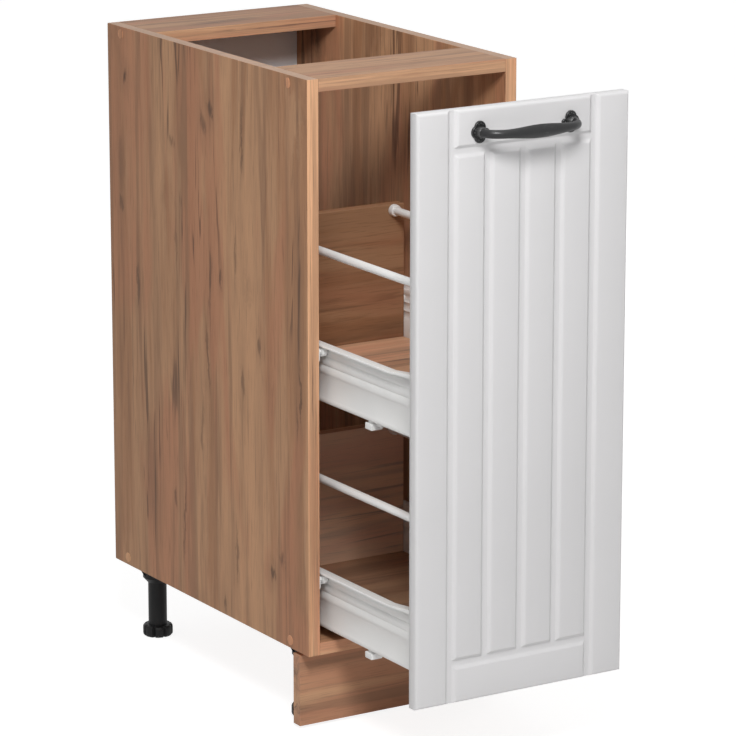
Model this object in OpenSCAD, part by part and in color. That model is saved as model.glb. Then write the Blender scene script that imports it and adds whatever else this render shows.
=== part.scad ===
// Base cabinet with one full-height front that pulls out two drawers.
// Millimetres. X runs across, +Y to the back, +Z up, and the floor is at z = 0.

/* [Carcass] */
// Outside width of the carcass
carcass_w = 300; // [280:10:400]
// Height of the carcass without its legs
carcass_h = 720; // [700:10:800]
// Depth of the side panels
carcass_d = 500; // [490:5:600]
// Thickness of the carcass boards
board_t = 16; // [15:0.5:19]
// Depth of the two boards that lie flat at the top
top_rail_d = 100; // [80:5:130]
// Thickness of the hardboard back
back_t = 3; // [2.5:0.5:4]
// How far the hardboard back stays inside the outline
back_inset = 1.5; // [0.5:0.5:3]
// Diameter of the screw covers on the side panels
cap_dia = 13; // [12:0.5:15]
// Distance of the front carcass screws from the front edge
screw_front = 45; // [30:1:60]
// Distance of the rear carcass screws from the rear edge
screw_rear = 35; // [30:1:60]

/* [Legs and plinth] */
// Clear height under the carcass
leg_h = 100; // [80:5:120]
// Distance of the leg axes from the outer side faces
leg_side = 38; // [36:1:48]
// Distance of the front leg axes from the front edge
leg_front = 68; // [66:1:90]
// Distance of the rear leg axes from the rear edge of the side panels
leg_rear = 45; // [40:1:90]
// Diameter of the leg tube
leg_tube_dia = 24.7; // [22:0.1:28]
// Diameter of the foot
foot_dia = 39.6; // [36:0.2:46]
// Height of the notched foot
foot_h = 15; // [13:0.5:18]
// How far a foot can be screwed in from the place shown
foot_travel = 8; // [5:0.5:9]
// Distance of the plinth from the front edge of the carcass
plinth_setback = 22; // [15:1:22]
// Gap above and below the plinth
plinth_gap = 4; // [2:0.5:8]

/* [Front] */
// How far the front is pulled out
pulled_out = 224; // [0:2:334]
// Thickness of the front panel
front_t = 16; // [15:0.5:19]
// Gap between the front panel and the outline of the carcass at each side
front_side_gap = 2; // [1:0.5:3]
// Gap between the front panel and the top of the carcass
front_top_gap = 4; // [2:0.5:20]
// Rounding of the front panel's edges
front_round = 4; // [2:0.5:6]
// Distance from the panel's edges to the outer grooves
groove_border = 49; // [40:1:60]
// Number of inner strips between the outer grooves
strip_count = 4; // [2:1:6]
// Width of a groove at the surface
groove_w = 13; // [8:0.5:16]
// Depth of a groove
groove_depth = 3; // [1.5:0.5:5]
// Thickness of the bumper pads behind the front panel
bumper_t = 1.7; // [1.5:0.1:3]

/* [Handle] */
// Distance between the handle's two screws
handle_centres = 128; // [96:32:160]
// Height of the handle's screws below the top of the front panel
handle_drop = 28; // [20:1:29]
// Distance from the front panel to the middle line of the grip
handle_reach = 32; // [28:1:45]
// Thickness of the grip in the middle, measured upright
grip_h = 16.4; // [11:0.2:18]
// Thickness of the grip in the middle, measured front to back
grip_d = 12; // [9:0.2:14]
// Height of the rosettes
rosette_h = 26.4; // [25:0.2:30]
// Thickness of the rosettes
rosette_t = 5; // [4:0.5:7]

/* [Drawers] */
// Length of the drawers behind the front panel
drawer_l = 450; // [400:10:450]
// Height of the lower drawer's steel sides above the bottom panel
drawer_lift = 13; // [12:1:40]
// Distance from the lower drawer up to the upper one
drawer_pitch = 288; // [256:8:312]
// Height of the pressed steel sides
side_h = 76; // [74:0.5:90]
// Thickness of the steel sheet
sheet_t = 1.2; // [1:0.1:1.5]
// Distance from the carcass wall to the inner face of a steel side
side_clear = 15.5; // [15:0.1:17]
// Height of the first pressed crease above the bottom edge
rib_low = 38.6; // [36:0.1:40]
// Distance between the pressed creases
rib_pitch = 11.3; // [9:0.1:11.5]
// Height of the pressed ribs
rib_depth = 1; // [0.5:0.1:1.2]
// Length of the sloped stretch behind the front panel
ramp_l = 75; // [60:1:90]
// How much the top edge rises over the sloped stretch
ramp_rise = 9; // [5:0.5:12]
// Thickness of the drawer bottoms
drawer_board_t = 12; // [10:0.5:12]
// Thickness of the drawer backs
drawer_back_t = 16; // [15:0.5:16]
// Height of the drawer backs above the drawer bottoms
drawer_back_h = 175; // [150:5:190]
// Diameter of the railings
rail_dia = 10; // [8:0.5:12]
// Height of the railings above the bottom edge of the steel sides
rail_up = 181; // [140:1:181]
// Distance of the railings from the inner face of the steel sides
rail_in = 16.5; // [12:0.5:25]

/* [Runners] */
// Height of the runner channel
channel_h = 18.5; // [18:0.1:20]
// Depth of the runner channel, measured from the carcass wall
channel_d = 11; // [10:0.1:11.5]
// Distance of the runner channel from the front edge of the carcass
channel_front = 22; // [20:1:30]
// Diameter of the front rollers
front_roller_dia = 14; // [12:0.5:15]
// Distance of the front rollers' axles from the front edge
front_roller_y = 6; // [6:0.5:10]
// Gap between a roller and what it runs on
roll_gap = 0.3; // [0.2:0.05:0.4]

/* [Hidden] */

$fn = 48;
wood = "#9e785c";
inner_wood = "#8f6b50";
white_film = "#e4e3e4";
white_steel = "#d8d8d4";
white_plastic = "#f2f2f0";
black_plastic = "#262626";
graphite = "#3c3c3c";
zinc = "#b9bcc0";
hardboard = "#9a928b";

// Sides of the object, and ends of the carcass
left = -1;
right = 1;
front = 0;
rear = 1;
lower = 0;
upper = 1;

// Clearances
fit = 0.05;
slack = 0.5;
running = 0.1;

// Places worked out from the sizes above
inner_w = carcass_w - 2 * board_t;
front_w = carcass_w - 2 * front_side_gap;
front_h = carcass_h - front_top_gap;
closed_gap = bumper_t + roll_gap;
open_y = closed_gap + pulled_out;
grip_front = handle_reach + grip_d / 2;
reach = open_y + front_t + grip_front;
carcass_y = (reach - carcass_d - back_t) / 2;
wall_a = side_clear - sheet_t;
tray_w = inner_w - 2 * side_clear;
tray_z = sheet_t + drawer_board_t;

// Fasteners
confirmat_l = 50;
confirmat_head_r = 5;
confirmat_head_h = 4;
confirmat_neck_r = 3.5;
confirmat_thread_r = 2.7;
confirmat_end = 10;
cap_rise = 0.6;
screw_r = 1.5;
screw_head_r = 3.2;
screw_head_h = 1.2;
screw_tip = 3;
screw_play = 0.3;
nail_r = 0.7;
nail_head_r = 1.5;
nail_head_h = 0.6;
nail_l = 18;
nail_rows = 5;

// Feet and legs
plate_r = 29;
plate_t = 3;
collar_r = 19;
collar_h = 20;
collar_cone = 6;
socket_screw = 17;
foot_floor = 5;
stud_r = 5;
stud_l = 46;
stud_fit = 0.08;
notch_count = 8;
notch_w = 5;
notch_depth = 3;
tube_low = foot_floor + foot_travel + 1;
leg_screw_l = 15;

// Plinth clip
clip_arm = 2.8;
clip_play = 0.3;
clip_h = 12;
clip_web = 14;
clip_plate = [40, 3, 30];
clip_tail = 5;
clip_screw_l = 13;
clip_screw_x = 15;

// Steel sides
lip_a = 3;
lip_h = 2.2;
rib_count = 3;
rib_step = 8;
hem_h = 8;
foot_flange = 14;
rear_flange = 12;
axle_r = 2.5;
axle_head_r = 4;
axle_head_t = 0.8;
roller_bore = axle_r + running;

// Runner channel and rollers
channel_top = side_h - 3;
channel_low = channel_top - channel_h;
runner_t = 1.2;
rim_soft = 0.6;
roller_dish = 0.8;
nose_start = 0.5;
front_roller_a = 4.6;
front_roller_w = 6.8;
front_roller_z = side_h - sheet_t - roll_gap - front_roller_dia / 2;
rear_roller_a = 4.3;
rear_roller_w = 8.2;
rear_roller_r = channel_h / 2 - runner_t - roll_gap;
rear_roller_z = channel_low + channel_h / 2;
rear_roller_back = 12;
rear_axle_a = rear_roller_a - roll_gap - axle_head_t;
runner_l = drawer_l - 10;
runner_screw_l = 13;
runner_screw_y = [40, runner_l / 2, runner_l - 40];

// Front brackets, sockets and clips of the drawers
bracket_low = 10;
bracket_high = 38;
bracket_l = 40;
bracket_t = 2;
bracket_a = 4;
bracket_rivet_y = [14, 30];
bracket_rivet_z = 24;
bracket_rivet_r = 2;
bracket_screw_z = [16, 32];
bracket_screw_a = 8;
front_socket_l = 12;
rear_socket_l = 8;
socket_wall = 2.8;
socket_floor = 2;
rail_fit = 0.08;
drawer_screw_l = 12;
board_screw_l = tray_z - 2;
board_screw_y = [60, drawer_l / 2, drawer_l - 60];
board_screw_in = 7;
back_screw_z = [30, 60];
back_screw_in = 7;
clip_block = [16, 15, 8];
clip_neck = 3;
clip_y = 129;
clip_in = -1.2;
pad_r = 4;
pad_inset = 30;
handle_screw_r = 2;
handle_screw_fit = 0.25;
handle_screw_head_r = 4;
handle_screw_head_h = 2.4;
handle_thread = 12;
collar_octagon_r = 6.4;
collar_octagon_h = 5;
// Lobes of a rosette as [inwards, up, radius] in heights of the rosette
rosette_lobes = [[0.02, 0.21, 0.29], [-0.12, 0, 0.3], [0.02, -0.21, 0.29]];
rosette_tongue = [0.36, 0, 0.145];
rosette_boss_in = 6.3;
bead_turn = 42;
bead_r = 1.2;
bead_out = 4.4;
bow_steps = 28;
bow_sides = 16;
bow_post_side = 4.8;
bow_post_up = 5.2;
bow_post_run = 14;
bow_power = 2 / 3;
bow_ridge = 0.3;

// Shared frames

// Middle of the carcass's front bottom edge
module at_carcass() translate([0, carcass_y, leg_h]) children();

// Middle of the front panel's back face at its lower edge, which moves with the front
module at_front() translate([0, carcass_y - open_y, leg_h]) children();

// Bottom edge of one drawer's steel sides, seen from the front panel's back face
module at_drawer(level) at_front() translate([0, 0, drawer_z(level)]) children();

function drawer_z(level) = board_t + drawer_lift + level * drawer_pitch;

// Draws a left-hand shape that starts at the inner face of the side panel, or its mirror image
module on_wall(side) {
  if (side == left) translate([-inner_w / 2, 0, 0]) children();
  else mirror([1, 0, 0]) translate([-inner_w / 2, 0, 0]) children();
}

// Extrudes an outline drawn in X and Z from y0 to y1
module along_y(y0, y1) translate([0, y1, 0]) rotate([90, 0, 0]) linear_extrude(y1 - y0) children();

// Extrudes an outline drawn in Y and Z from x0 to x1
module along_x(x0, x1) translate([x0, 0, 0]) rotate([90, 0, 90]) linear_extrude(x1 - x0) children();

// Box from its low corner to its high corner
module span(low, high) translate(low) cube(high - low);

// Screws, nails and their holes

// Wood screw with its head's seat at the origin, pointing along +Z
module wood_screw(l) {
  translate([0, 0, -screw_head_h]) cylinder(h = screw_head_h, r = screw_head_r);
  translate([0, 0, -fit]) cylinder(h = l - screw_tip + fit, r = screw_r);
  translate([0, 0, l - screw_tip]) cylinder(h = screw_tip, r1 = screw_r, r2 = screw_r / 5);
}

// Hole that a wood screw of the same length sits in
module screw_hole(l) translate([0, 0, -1]) cylinder(h = l + 1 + slack, r = screw_r + fit);

// Wider hole through a sheet or plate of thickness t, in front of a screw's own hole
module through_hole(t) translate([0, 0, -1]) cylinder(h = t + 2, r = screw_r + screw_play);

// Confirmat screw that enters at the origin and points along +X
module confirmat() rotate([0, 90, 0]) {
  translate([0, 0, fit]) cylinder(h = confirmat_head_h, r = confirmat_head_r);
  translate([0, 0, confirmat_head_h]) cylinder(h = board_t - confirmat_head_h, r = confirmat_neck_r);
  translate([0, 0, board_t - 1]) cylinder(h = confirmat_l - board_t + 1, r = confirmat_thread_r);
}

// Stepped hole for a confirmat screw
module confirmat_hole() rotate([0, 90, 0]) {
  translate([0, 0, -1]) cylinder(h = confirmat_head_h + 1 + fit, r = confirmat_head_r + fit);
  cylinder(h = board_t + fit, r = confirmat_neck_r + fit);
  cylinder(h = confirmat_l + slack, r = confirmat_thread_r + fit);
}

// Places of the confirmat screws on a side panel, as y and z
confirmat_places = [for (z = [confirmat_end, carcass_h - confirmat_end])
  for (y = [screw_front, carcass_d - screw_rear]) [y, z]];

// Draws a copy at each confirmat place on one side, pointing inwards
module at_confirmats(side) for (p = confirmat_places)
  if (side == left) translate([-carcass_w / 2, p[0], p[1]]) children();
  else mirror([1, 0, 0]) translate([-carcass_w / 2, p[0], p[1]]) children();

// Nail that enters the hardboard from behind, at the origin and along -Y
module nail() rotate([90, 0, 0]) {
  cylinder(h = nail_head_h, r = nail_head_r, $fn = 24);
  cylinder(h = nail_l, r = nail_r, $fn = 24);
}

// Hole for a nail, a little wider and longer than it
module nail_hole() rotate([90, 0, 0]) {
  translate([0, 0, -1]) cylinder(h = nail_head_h + 1 + fit, r = nail_head_r + fit, $fn = 24);
  cylinder(h = nail_l + slack, r = nail_r + fit, $fn = 24);
}

// Places of the nails along the edges of the back, as x and z
nail_places = concat(
  [for (x = [-1, 1]) for (i = [1:nail_rows])
    [x * (carcass_w - board_t) / 2, carcass_h * i / (nail_rows + 1)]],
  [for (x = [-1, 1]) for (z = [board_t / 2, carcass_h - board_t / 2]) [x * inner_w / 6, z]]);

module at_nails() for (p = nail_places) translate([p[0], carcass_d + back_t, p[1]]) children();

// Carcass

module side_panel(side) color(wood) at_carcass() difference() {
  if (side == left) span([-carcass_w / 2, 0, 0], [-inner_w / 2, carcass_d, carcass_h]);
  else span([inner_w / 2, 0, 0], [carcass_w / 2, carcass_d, carcass_h]);
  at_confirmats(side) confirmat_hole();
  at_nails() nail_hole();
  at_runner_screws(side) screw_hole(runner_screw_l);
}

module bottom_panel() color(wood) difference() {
  at_carcass() difference() {
    span([-inner_w / 2, 0, 0], [inner_w / 2, carcass_d, board_t]);
    for (side = [left, right]) at_confirmats(side) confirmat_hole();
    at_nails() nail_hole();
  }
  for (side = [left, right]) for (end = [front, rear])
    at_leg(side, end) at_leg_screws() screw_hole(leg_screw_l);
}

module top_rail(end) color(wood) at_carcass() difference() {
  translate([-inner_w / 2, end * (carcass_d - top_rail_d), carcass_h - board_t])
    cube([inner_w, top_rail_d, board_t]);
  for (side = [left, right]) at_confirmats(side) confirmat_hole();
  at_nails() nail_hole();
}

module hardboard_back() color(hardboard) at_carcass() difference() {
  span([back_inset - carcass_w / 2, carcass_d, back_inset],
    [carcass_w / 2 - back_inset, carcass_d + back_t, carcass_h - back_inset]);
  at_nails() nail_hole();
}

module back_nails() color(zinc) at_carcass() at_nails() nail();

module confirmat_screws() color(zinc) at_carcass() for (side = [left, right]) at_confirmats(side) confirmat();

// Thin domed covers that lie on the side panels over the screw heads
module cover_caps() color(wood) at_carcass() for (side = [left, right]) at_confirmats(side)
  rotate([0, -90, 0]) rotate_extrude() polygon([[0, 0], [cap_dia / 2, 0], [cap_dia / 2, cap_rise / 3],
    [cap_dia / 2 - 1, cap_rise], [0, cap_rise]]);

// Legs

// Axis of one leg at the underside of the bottom panel
module at_leg(side, end) translate([side * (carcass_w / 2 - leg_side),
  carcass_y + (end == front ? leg_front : carcass_d - leg_rear), leg_h]) children();

// Screw places of one leg plate, with the seat below the plate
module at_leg_screws() for (x = [-1, 1]) for (y = [-1, 1])
  translate([x * socket_screw, y * socket_screw, -plate_t]) children();

module leg_socket(side, end) color(black_plastic) at_leg(side, end) difference() {
  rotate_extrude() polygon([[0, 0], [plate_r, 0], [plate_r, -plate_t], [collar_r + 1, -plate_t],
    [collar_r, -plate_t - 1], [collar_r, -collar_h], [leg_tube_dia / 2 + 1, -collar_h - collar_cone],
    [0, -collar_h - collar_cone]]);
  translate([0, 0, -collar_h - collar_cone - 1])
    cylinder(h = collar_h + collar_cone + 1 - plate_t, r = leg_tube_dia / 2 + fit);
  at_leg_screws() through_hole(plate_t);
}

module leg_tube(side, end) color(black_plastic) at_leg(side, end) difference() {
  translate([0, 0, tube_low - leg_h]) cylinder(h = leg_h - tube_low - plate_t, r = leg_tube_dia / 2);
  translate([0, 0, tube_low - leg_h - 1])
    cylinder(h = stud_l + foot_travel, r = stud_r + stud_fit);
}

// Foot with a notched rim round the tube and a threaded stud inside it
module foot(side, end) color(black_plastic) at_leg(side, end) translate([0, 0, -leg_h]) {
  difference() {
    rotate_extrude() polygon([[0, 0], [foot_dia / 2 - 1.5, 0], [foot_dia / 2, 1.5],
      [foot_dia / 2, foot_h - 1.5], [foot_dia / 2 - 1.5, foot_h], [leg_tube_dia / 2 + 0.8, foot_h],
      [leg_tube_dia / 2 + 0.8, foot_floor], [0, foot_floor]]);
    for (i = [0:notch_count - 1]) rotate(i * 360 / notch_count + 180 / notch_count)
      translate([foot_dia / 2 - notch_depth, -notch_w / 2, -1]) cube([notch_depth + 1, notch_w, foot_h + 2]);
  }
  translate([0, 0, foot_floor - 1]) cylinder(h = stud_l - foot_floor + 1, r = stud_r);
}

module leg_screws() color(zinc) for (side = [left, right]) for (end = [front, rear])
  at_leg(side, end) at_leg_screws() wood_screw(leg_screw_l);

// Plinth

module at_plinth() translate([0, carcass_y + plinth_setback, 0]) children();

plinth_h = leg_h - 2 * plinth_gap;
clip_z = leg_h / 2;

// Screw places of the plinth clips on the plinth's back face, pointing along -Y
module at_plinth_screws() for (side = [left, right]) for (x = [-1, 1])
  translate([side * (carcass_w / 2 - leg_side) + x * clip_screw_x, board_t + clip_plate[1], clip_z])
    rotate([90, 0, 0]) children();

module plinth() color(wood) at_plinth() difference() {
  span([-carcass_w / 2, 0, plinth_gap], [carcass_w / 2, board_t, plinth_gap + plinth_h]);
  at_plinth_screws() screw_hole(clip_screw_l);
}

// Fork that the front leg's tube snaps into, with its plate on the plinth
module plinth_clip(side) {
  jaw_r = leg_tube_dia / 2 + clip_play;
  tube_y = leg_front - plinth_setback;
  translate([side * (carcass_w / 2 - leg_side), 0, clip_z]) difference() {
    union() {
      translate([-clip_plate[0] / 2, board_t, -clip_plate[2] / 2]) cube(clip_plate);
      span([-clip_web / 2, board_t, -clip_h / 2], [clip_web / 2, tube_y, clip_h / 2]);
      translate([0, tube_y, -clip_h / 2]) cylinder(h = clip_h, r = jaw_r + clip_arm);
      span([-jaw_r - clip_arm, tube_y, -clip_h / 2], [jaw_r + clip_arm, tube_y + clip_tail, clip_h / 2]);
    }
    translate([0, tube_y, -clip_h / 2 - 1]) cylinder(h = clip_h + 2, r = jaw_r);
    span([-jaw_r, tube_y, -clip_h / 2 - 1], [jaw_r, tube_y + 2 * jaw_r, clip_h / 2 + 1]);
  }
}

module plinth_clips() color(black_plastic) at_plinth() difference() {
  for (side = [left, right]) plinth_clip(side);
  at_plinth_screws() screw_hole(clip_screw_l);
}

module plinth_screws() color(zinc) at_plinth() at_plinth_screws() wood_screw(clip_screw_l);

// Cabinet runners

// Places of the runner screws on one side panel, pointing into it
module at_runner_screws(side) for (level = [lower, upper]) on_wall(side)
  for (y = runner_screw_y) translate([runner_t, channel_front + y, drawer_z(level) + rear_roller_z])
    rotate([0, -90, 0]) children();

// Channel that opens towards the drawer, with a nose that carries the front roller
module runner(side, level) color(white_steel) at_carcass() difference() {
  on_wall(side) translate([0, 0, drawer_z(level)]) {
    along_y(channel_front, channel_front + runner_l) difference() {
      translate([0, channel_low]) square([channel_d, channel_h]);
      translate([runner_t, channel_low + runner_t]) square([channel_d, channel_h - 2 * runner_t]);
    }
    span([0, nose_start, channel_low], [runner_t, channel_front + 1, channel_top]);
    translate([runner_t / 2, front_roller_y, front_roller_z]) rotate([0, 90, 0]) {
      axle_l = front_roller_a + front_roller_w + roll_gap - runner_t / 2;
      cylinder(h = axle_l + axle_head_t, r = axle_r);
      translate([0, 0, axle_l]) cylinder(h = axle_head_t, r = axle_head_r);
    }
  }
  at_runner_screws(side) screw_hole(runner_screw_l);
}

module runner_screws() color(zinc) at_carcass() for (side = [left, right])
  at_runner_screws(side) wood_screw(runner_screw_l);

// Roller on an axle along X, with softened rims and a shallow hub ring
module roller(r, w) rotate([0, 90, 0]) difference() {
  rotate_extrude() polygon([[roller_bore, 0], [r - rim_soft, 0], [r, rim_soft], [r, w - rim_soft],
    [r - rim_soft, w], [roller_bore, w]]);
  for (z = [-roller_dish, w - roller_dish]) translate([0, 0, z]) difference() {
    cylinder(h = 2 * roller_dish, r = r - 1.4);
    translate([0, 0, -1]) cylinder(h = 3, r = axle_head_r + 0.1);
  }
}

module front_rollers(level) color(white_plastic) at_carcass() for (side = [left, right]) on_wall(side)
  translate([front_roller_a, front_roller_y, drawer_z(level) + front_roller_z])
    roller(front_roller_dia / 2, front_roller_w);

// Front panel

groove_x = front_w / 2 - groove_border;
strip_pitch = 2 * groove_x / strip_count;
handle_z = front_h - handle_drop;

// Groove section with sloped flanks, cut into a face at y = 0
module groove_section() polygon([[-groove_w / 2 - 1, -groove_depth / 2], [-groove_w / 2, 0],
  [-groove_w / 4, groove_depth], [groove_w / 4, groove_depth], [groove_w / 2, 0],
  [groove_w / 2 + 1, -groove_depth / 2]]);

// Outline of a panel that has rounded front corners, from y = 0 back to y = t
module rounded_section(w, t, r) {
  translate([-w / 2, r]) square([w, t - r]);
  translate([r - w / 2, 0]) square([w - 2 * r, t]);
  for (x = [r - w / 2, w / 2 - r]) translate([x, r]) circle(r);
}

module upright_groove(x, z0, z1) translate([x, 0, z0]) linear_extrude(z1 - z0) groove_section();

// Groove from one outer upright groove to the other; the swap turns the section to depth and height
module cross_groove(z) along_x(-groove_x, groove_x) translate([0, z]) mirror([1, -1]) groove_section();

// Screw places of what one drawer holds on the back of the front panel, pointing along -Y
module at_front_screws() for (side = [left, right]) {
  on_wall(side) for (z = bracket_screw_z)
    translate([bracket_screw_a, bracket_t, z]) rotate([90, 0, 0]) children();
  translate([side * rail_x, socket_floor, rail_up]) rotate([90, 0, 0]) children();
}

module at_handle() for (x = [-1, 1]) translate([x * handle_centres / 2, -front_t, handle_z]) children();

module front_panel() color(white_film) difference() {
  at_front() translate([0, -front_t, 0]) intersection() {
    linear_extrude(front_h) rounded_section(front_w, front_t, front_round);
    along_x(-front_w / 2, front_w / 2) translate([0, front_h / 2])
      mirror([1, -1]) rounded_section(front_h, front_t, front_round);
  }
  at_front() translate([0, -front_t, 0]) {
    for (x = [-groove_x, groove_x]) upright_groove(x, -1, front_h + 1);
    for (i = [1:strip_count - 1])
      upright_groove(i * strip_pitch - groove_x, groove_border, front_h - groove_border);
    for (z = [groove_border, front_h - groove_border]) cross_groove(z);
  }
  for (level = [lower, upper]) at_drawer(level) at_front_screws() screw_hole(drawer_screw_l);
  at_front() at_handle() rotate([-90, 0, 0]) translate([0, 0, -1])
    cylinder(h = front_t + 2, r = handle_screw_r + handle_screw_fit);
}

// Soft pads that meet the edges of the side panels when the front is closed
module bumper_pads() color(white_plastic) at_front() for (side = [left, right])
  for (z = [pad_inset, front_h - pad_inset])
    translate([side * (carcass_w - board_t) / 2, 0, z]) rotate([-90, 0, 0])
      rotate_extrude() polygon([[0, 0], [pad_r, 0], [pad_r, bumper_t - rim_soft],
        [pad_r - rim_soft, bumper_t], [0, bumper_t]]);

// Handle

// Middle line of the bow at angle t, from the left post over the grip to the right post
function bow_x(t) = -handle_centres / 2 * sign(cos(t)) * pow(abs(cos(t)), bow_power);
function bow_y(t) = -rosette_t - (handle_reach - rosette_t) * pow(sin(t), bow_power);
function bow_point(t) = [bow_x(t), bow_y(t)];
function bow_run(t, d) = t <= 0 ? [0, -1] : t >= 180 ? [0, 1] : bow_point(t + d) - bow_point(t - d);

// How far the grip has swollen at angle t, from 0 at the posts to 1 in the middle
function bow_swell(t) = pow(cos(90 * min(abs(bow_x(t)) / (handle_centres / 2 - bow_post_run), 1)), 2);

// Cosine or sine c drawn in towards a ridge of sharpness e
function ridged(c, e) = sign(c) * pow(abs(c), e);

// One ring of the bow, square to the middle line: round at the ends, ridged along the grip
function bow_ring(t) = let (
    p = bow_point(t),
    run = bow_run(t, 90 / bow_steps),
    across = [run[1], -run[0]] / norm(run),
    swell = bow_swell(t),
    flat = bow_post_side + (grip_d / 2 - bow_post_side) * swell,
    tall = bow_post_up + (grip_h / 2 - bow_post_up) * swell,
    e = 1 + bow_ridge * swell)
  [for (k = [0:bow_sides - 1]) let (
      a = 360 * k / bow_sides,
      out = flat * ridged(cos(a), e))
    [p[0] + across[0] * out, p[1] + across[1] * out, tall * ridged(sin(a), e)]];

module bow() {
  rings = [for (i = [0:bow_steps]) bow_ring(180 * i / bow_steps)];
  points = [for (ring = rings) for (p = ring) p];
  last = bow_steps * bow_sides;
  skin = [for (i = [0:bow_steps - 1]) for (k = [0:bow_sides - 1]) let (
      a = i * bow_sides + k,
      b = i * bow_sides + (k + 1) % bow_sides,
      c = b + bow_sides,
      d = a + bow_sides)
    each [[a, b, c], [a, c, d]]];
  low_end = [for (k = [0:bow_sides - 1]) bow_sides - 1 - k];
  high_end = [for (k = [0:bow_sides - 1]) last + k];
  polyhedron(points, concat(skin, [low_end, high_end]));
}

// Cast bow with eight-sided collars over the rosettes and threaded posts
module handle_bow() color(graphite) at_front() translate([0, -front_t, handle_z]) difference() {
  union() {
    bow();
    for (x = [-1, 1]) translate([x * handle_centres / 2, -rosette_t, 0]) rotate([90, 22.5, 0])
      cylinder(h = collar_octagon_h, r = collar_octagon_r, $fn = 8);
  }
  for (x = [-1, 1]) translate([x * handle_centres / 2, 1 - rosette_t, 0]) rotate([90, 0, 0])
    cylinder(h = handle_thread + 1, r = handle_screw_r + fit);
}

// Plate with three round lobes, a tongue towards the other rosette and a boss in the middle
module rosette() {
  plate_t = rosette_t * 0.55;
  boss_r = rosette_h / 2 - rosette_boss_in;
  rotate_extrude() polygon([[0, 0], [boss_r + 0.8, 0], [boss_r + 0.8, plate_t], [boss_r, rosette_t],
    [0, rosette_t]]);
  for (lobe = concat(rosette_lobes, [rosette_tongue])) {
    r = lobe[2] * rosette_h;
    translate([lobe[0] * rosette_h, lobe[1] * rosette_h, 0])
      rotate_extrude() polygon([[0, 0], [r, 0], [r, rosette_t * 0.35], [r - rim_soft, plate_t], [0, plate_t]]);
  }
  for (lobe = rosette_lobes) translate([lobe[0] * rosette_h, lobe[1] * rosette_h, plate_t])
    for (turn = [-bead_turn, 0, bead_turn]) rotate(atan2(lobe[1], lobe[0]) + turn)
      translate([bead_out, 0, 0]) sphere(bead_r, $fn = 24);
  translate([rosette_tongue[0] * rosette_h, 0, plate_t]) sphere(bead_r, $fn = 24);
}

// Rosettes under the ends of the bow
module handle_rosettes() color(graphite) at_front() for (x = [-1, 1])
  translate([x * handle_centres / 2, -front_t, handle_z]) rotate([90, 0, 0]) difference() {
    rotate(x > 0 ? 180 : 0) rosette();
    translate([0, 0, -1]) cylinder(h = rosette_t + 2, r = handle_screw_r + handle_screw_fit);
  }

module handle_screws() color(zinc) at_front() at_handle() translate([0, front_t, 0]) rotate([90, 0, 0]) {
  translate([0, 0, -handle_screw_head_h]) cylinder(h = handle_screw_head_h, r = handle_screw_head_r);
  cylinder(h = front_t + rosette_t + handle_thread - 1, r = handle_screw_r);
}

// Drawers

rail_x = tray_w / 2 - rail_in;
drawer_back_y = drawer_l - sheet_t - drawer_back_t;

// Distance of the steel wall's outer face from the side panel at height z: ribs bulge outwards
function wall_out(z) =
  z > rib_low && z < rib_low + rib_count * rib_pitch
    ? wall_a - rib_depth * (1 - cos(360 * (z - rib_low) / rib_pitch)) / 2
  : z > 0 && z < hem_h ? wall_a - rib_depth * (1 - cos(360 * z / hem_h)) / 2
  : wall_a;

wall_heights = concat(
  [for (i = [0:rib_step]) hem_h * i / rib_step],
  [for (i = [0:rib_count * rib_step]) rib_low + rib_pitch * i / rib_step]);

// Section of a pressed side without its top flange, drawn in distance from the wall and height
module wall_section() polygon(concat(
  [for (z = wall_heights) [wall_out(z), z]],
  [[wall_a, side_h], [wall_a + sheet_t, side_h]],
  [for (i = [len(wall_heights) - 1:-1:0]) [wall_out(wall_heights[i]) + sheet_t, wall_heights[i]]]));

// Slanted band of height h along the top edge of the sloped stretch
module slope_band(h) polygon([[1, side_h + ramp_rise - h], [1, side_h + ramp_rise],
  [ramp_l, side_h], [drawer_l, side_h], [drawer_l, side_h - h], [ramp_l, side_h - h]]);

// Pressed steel side with ribs, top flange, lip, foot flange and rear flange
module drawer_side(side, level) color(white_steel) at_drawer(level) difference() {
  on_wall(side) {
    along_y(1, drawer_l) wall_section();
    along_x(wall_a, side_clear) polygon([[1, side_h - 5], [1, side_h + ramp_rise],
      [ramp_l, side_h], [ramp_l, side_h - 5]]);
    along_x(lip_a, side_clear) slope_band(sheet_t);
    along_x(lip_a, lip_a + sheet_t) slope_band(lip_h);
    span([wall_a, 1, 0], [side_clear + foot_flange, drawer_l, sheet_t]);
    span([wall_a, drawer_l - sheet_t, tray_z + slack], [side_clear + rear_flange, drawer_l, side_h - 2]);
    translate([rear_axle_a, drawer_l - rear_roller_back, rear_roller_z]) rotate([0, 90, 0]) {
      cylinder(h = axle_head_t, r = axle_head_r);
      cylinder(h = wall_a + sheet_t / 2 - rear_axle_a, r = axle_r);
    }
  }
  at_board_screws() through_hole(sheet_t);
  at_clip_screws() through_hole(clip_neck + sheet_t);
  at_back_screws() through_hole(sheet_t);
  on_wall(side) for (y = bracket_rivet_y) translate([wall_a - 1, y, bracket_rivet_z]) rotate([0, 90, 0])
    cylinder(h = sheet_t + 2, r = bracket_rivet_r + fit);
}

// Screws up through the foot flanges into the drawer bottom
module at_board_screws() for (side = [left, right]) on_wall(side) for (y = board_screw_y)
  translate([side_clear + board_screw_in, y, 0]) children();

// Screws forwards through the rear flanges into the drawer back
module at_back_screws() for (side = [left, right]) on_wall(side) for (z = back_screw_z)
  translate([side_clear + back_screw_in, drawer_l, z]) rotate([90, 0, 0]) children();

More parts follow.
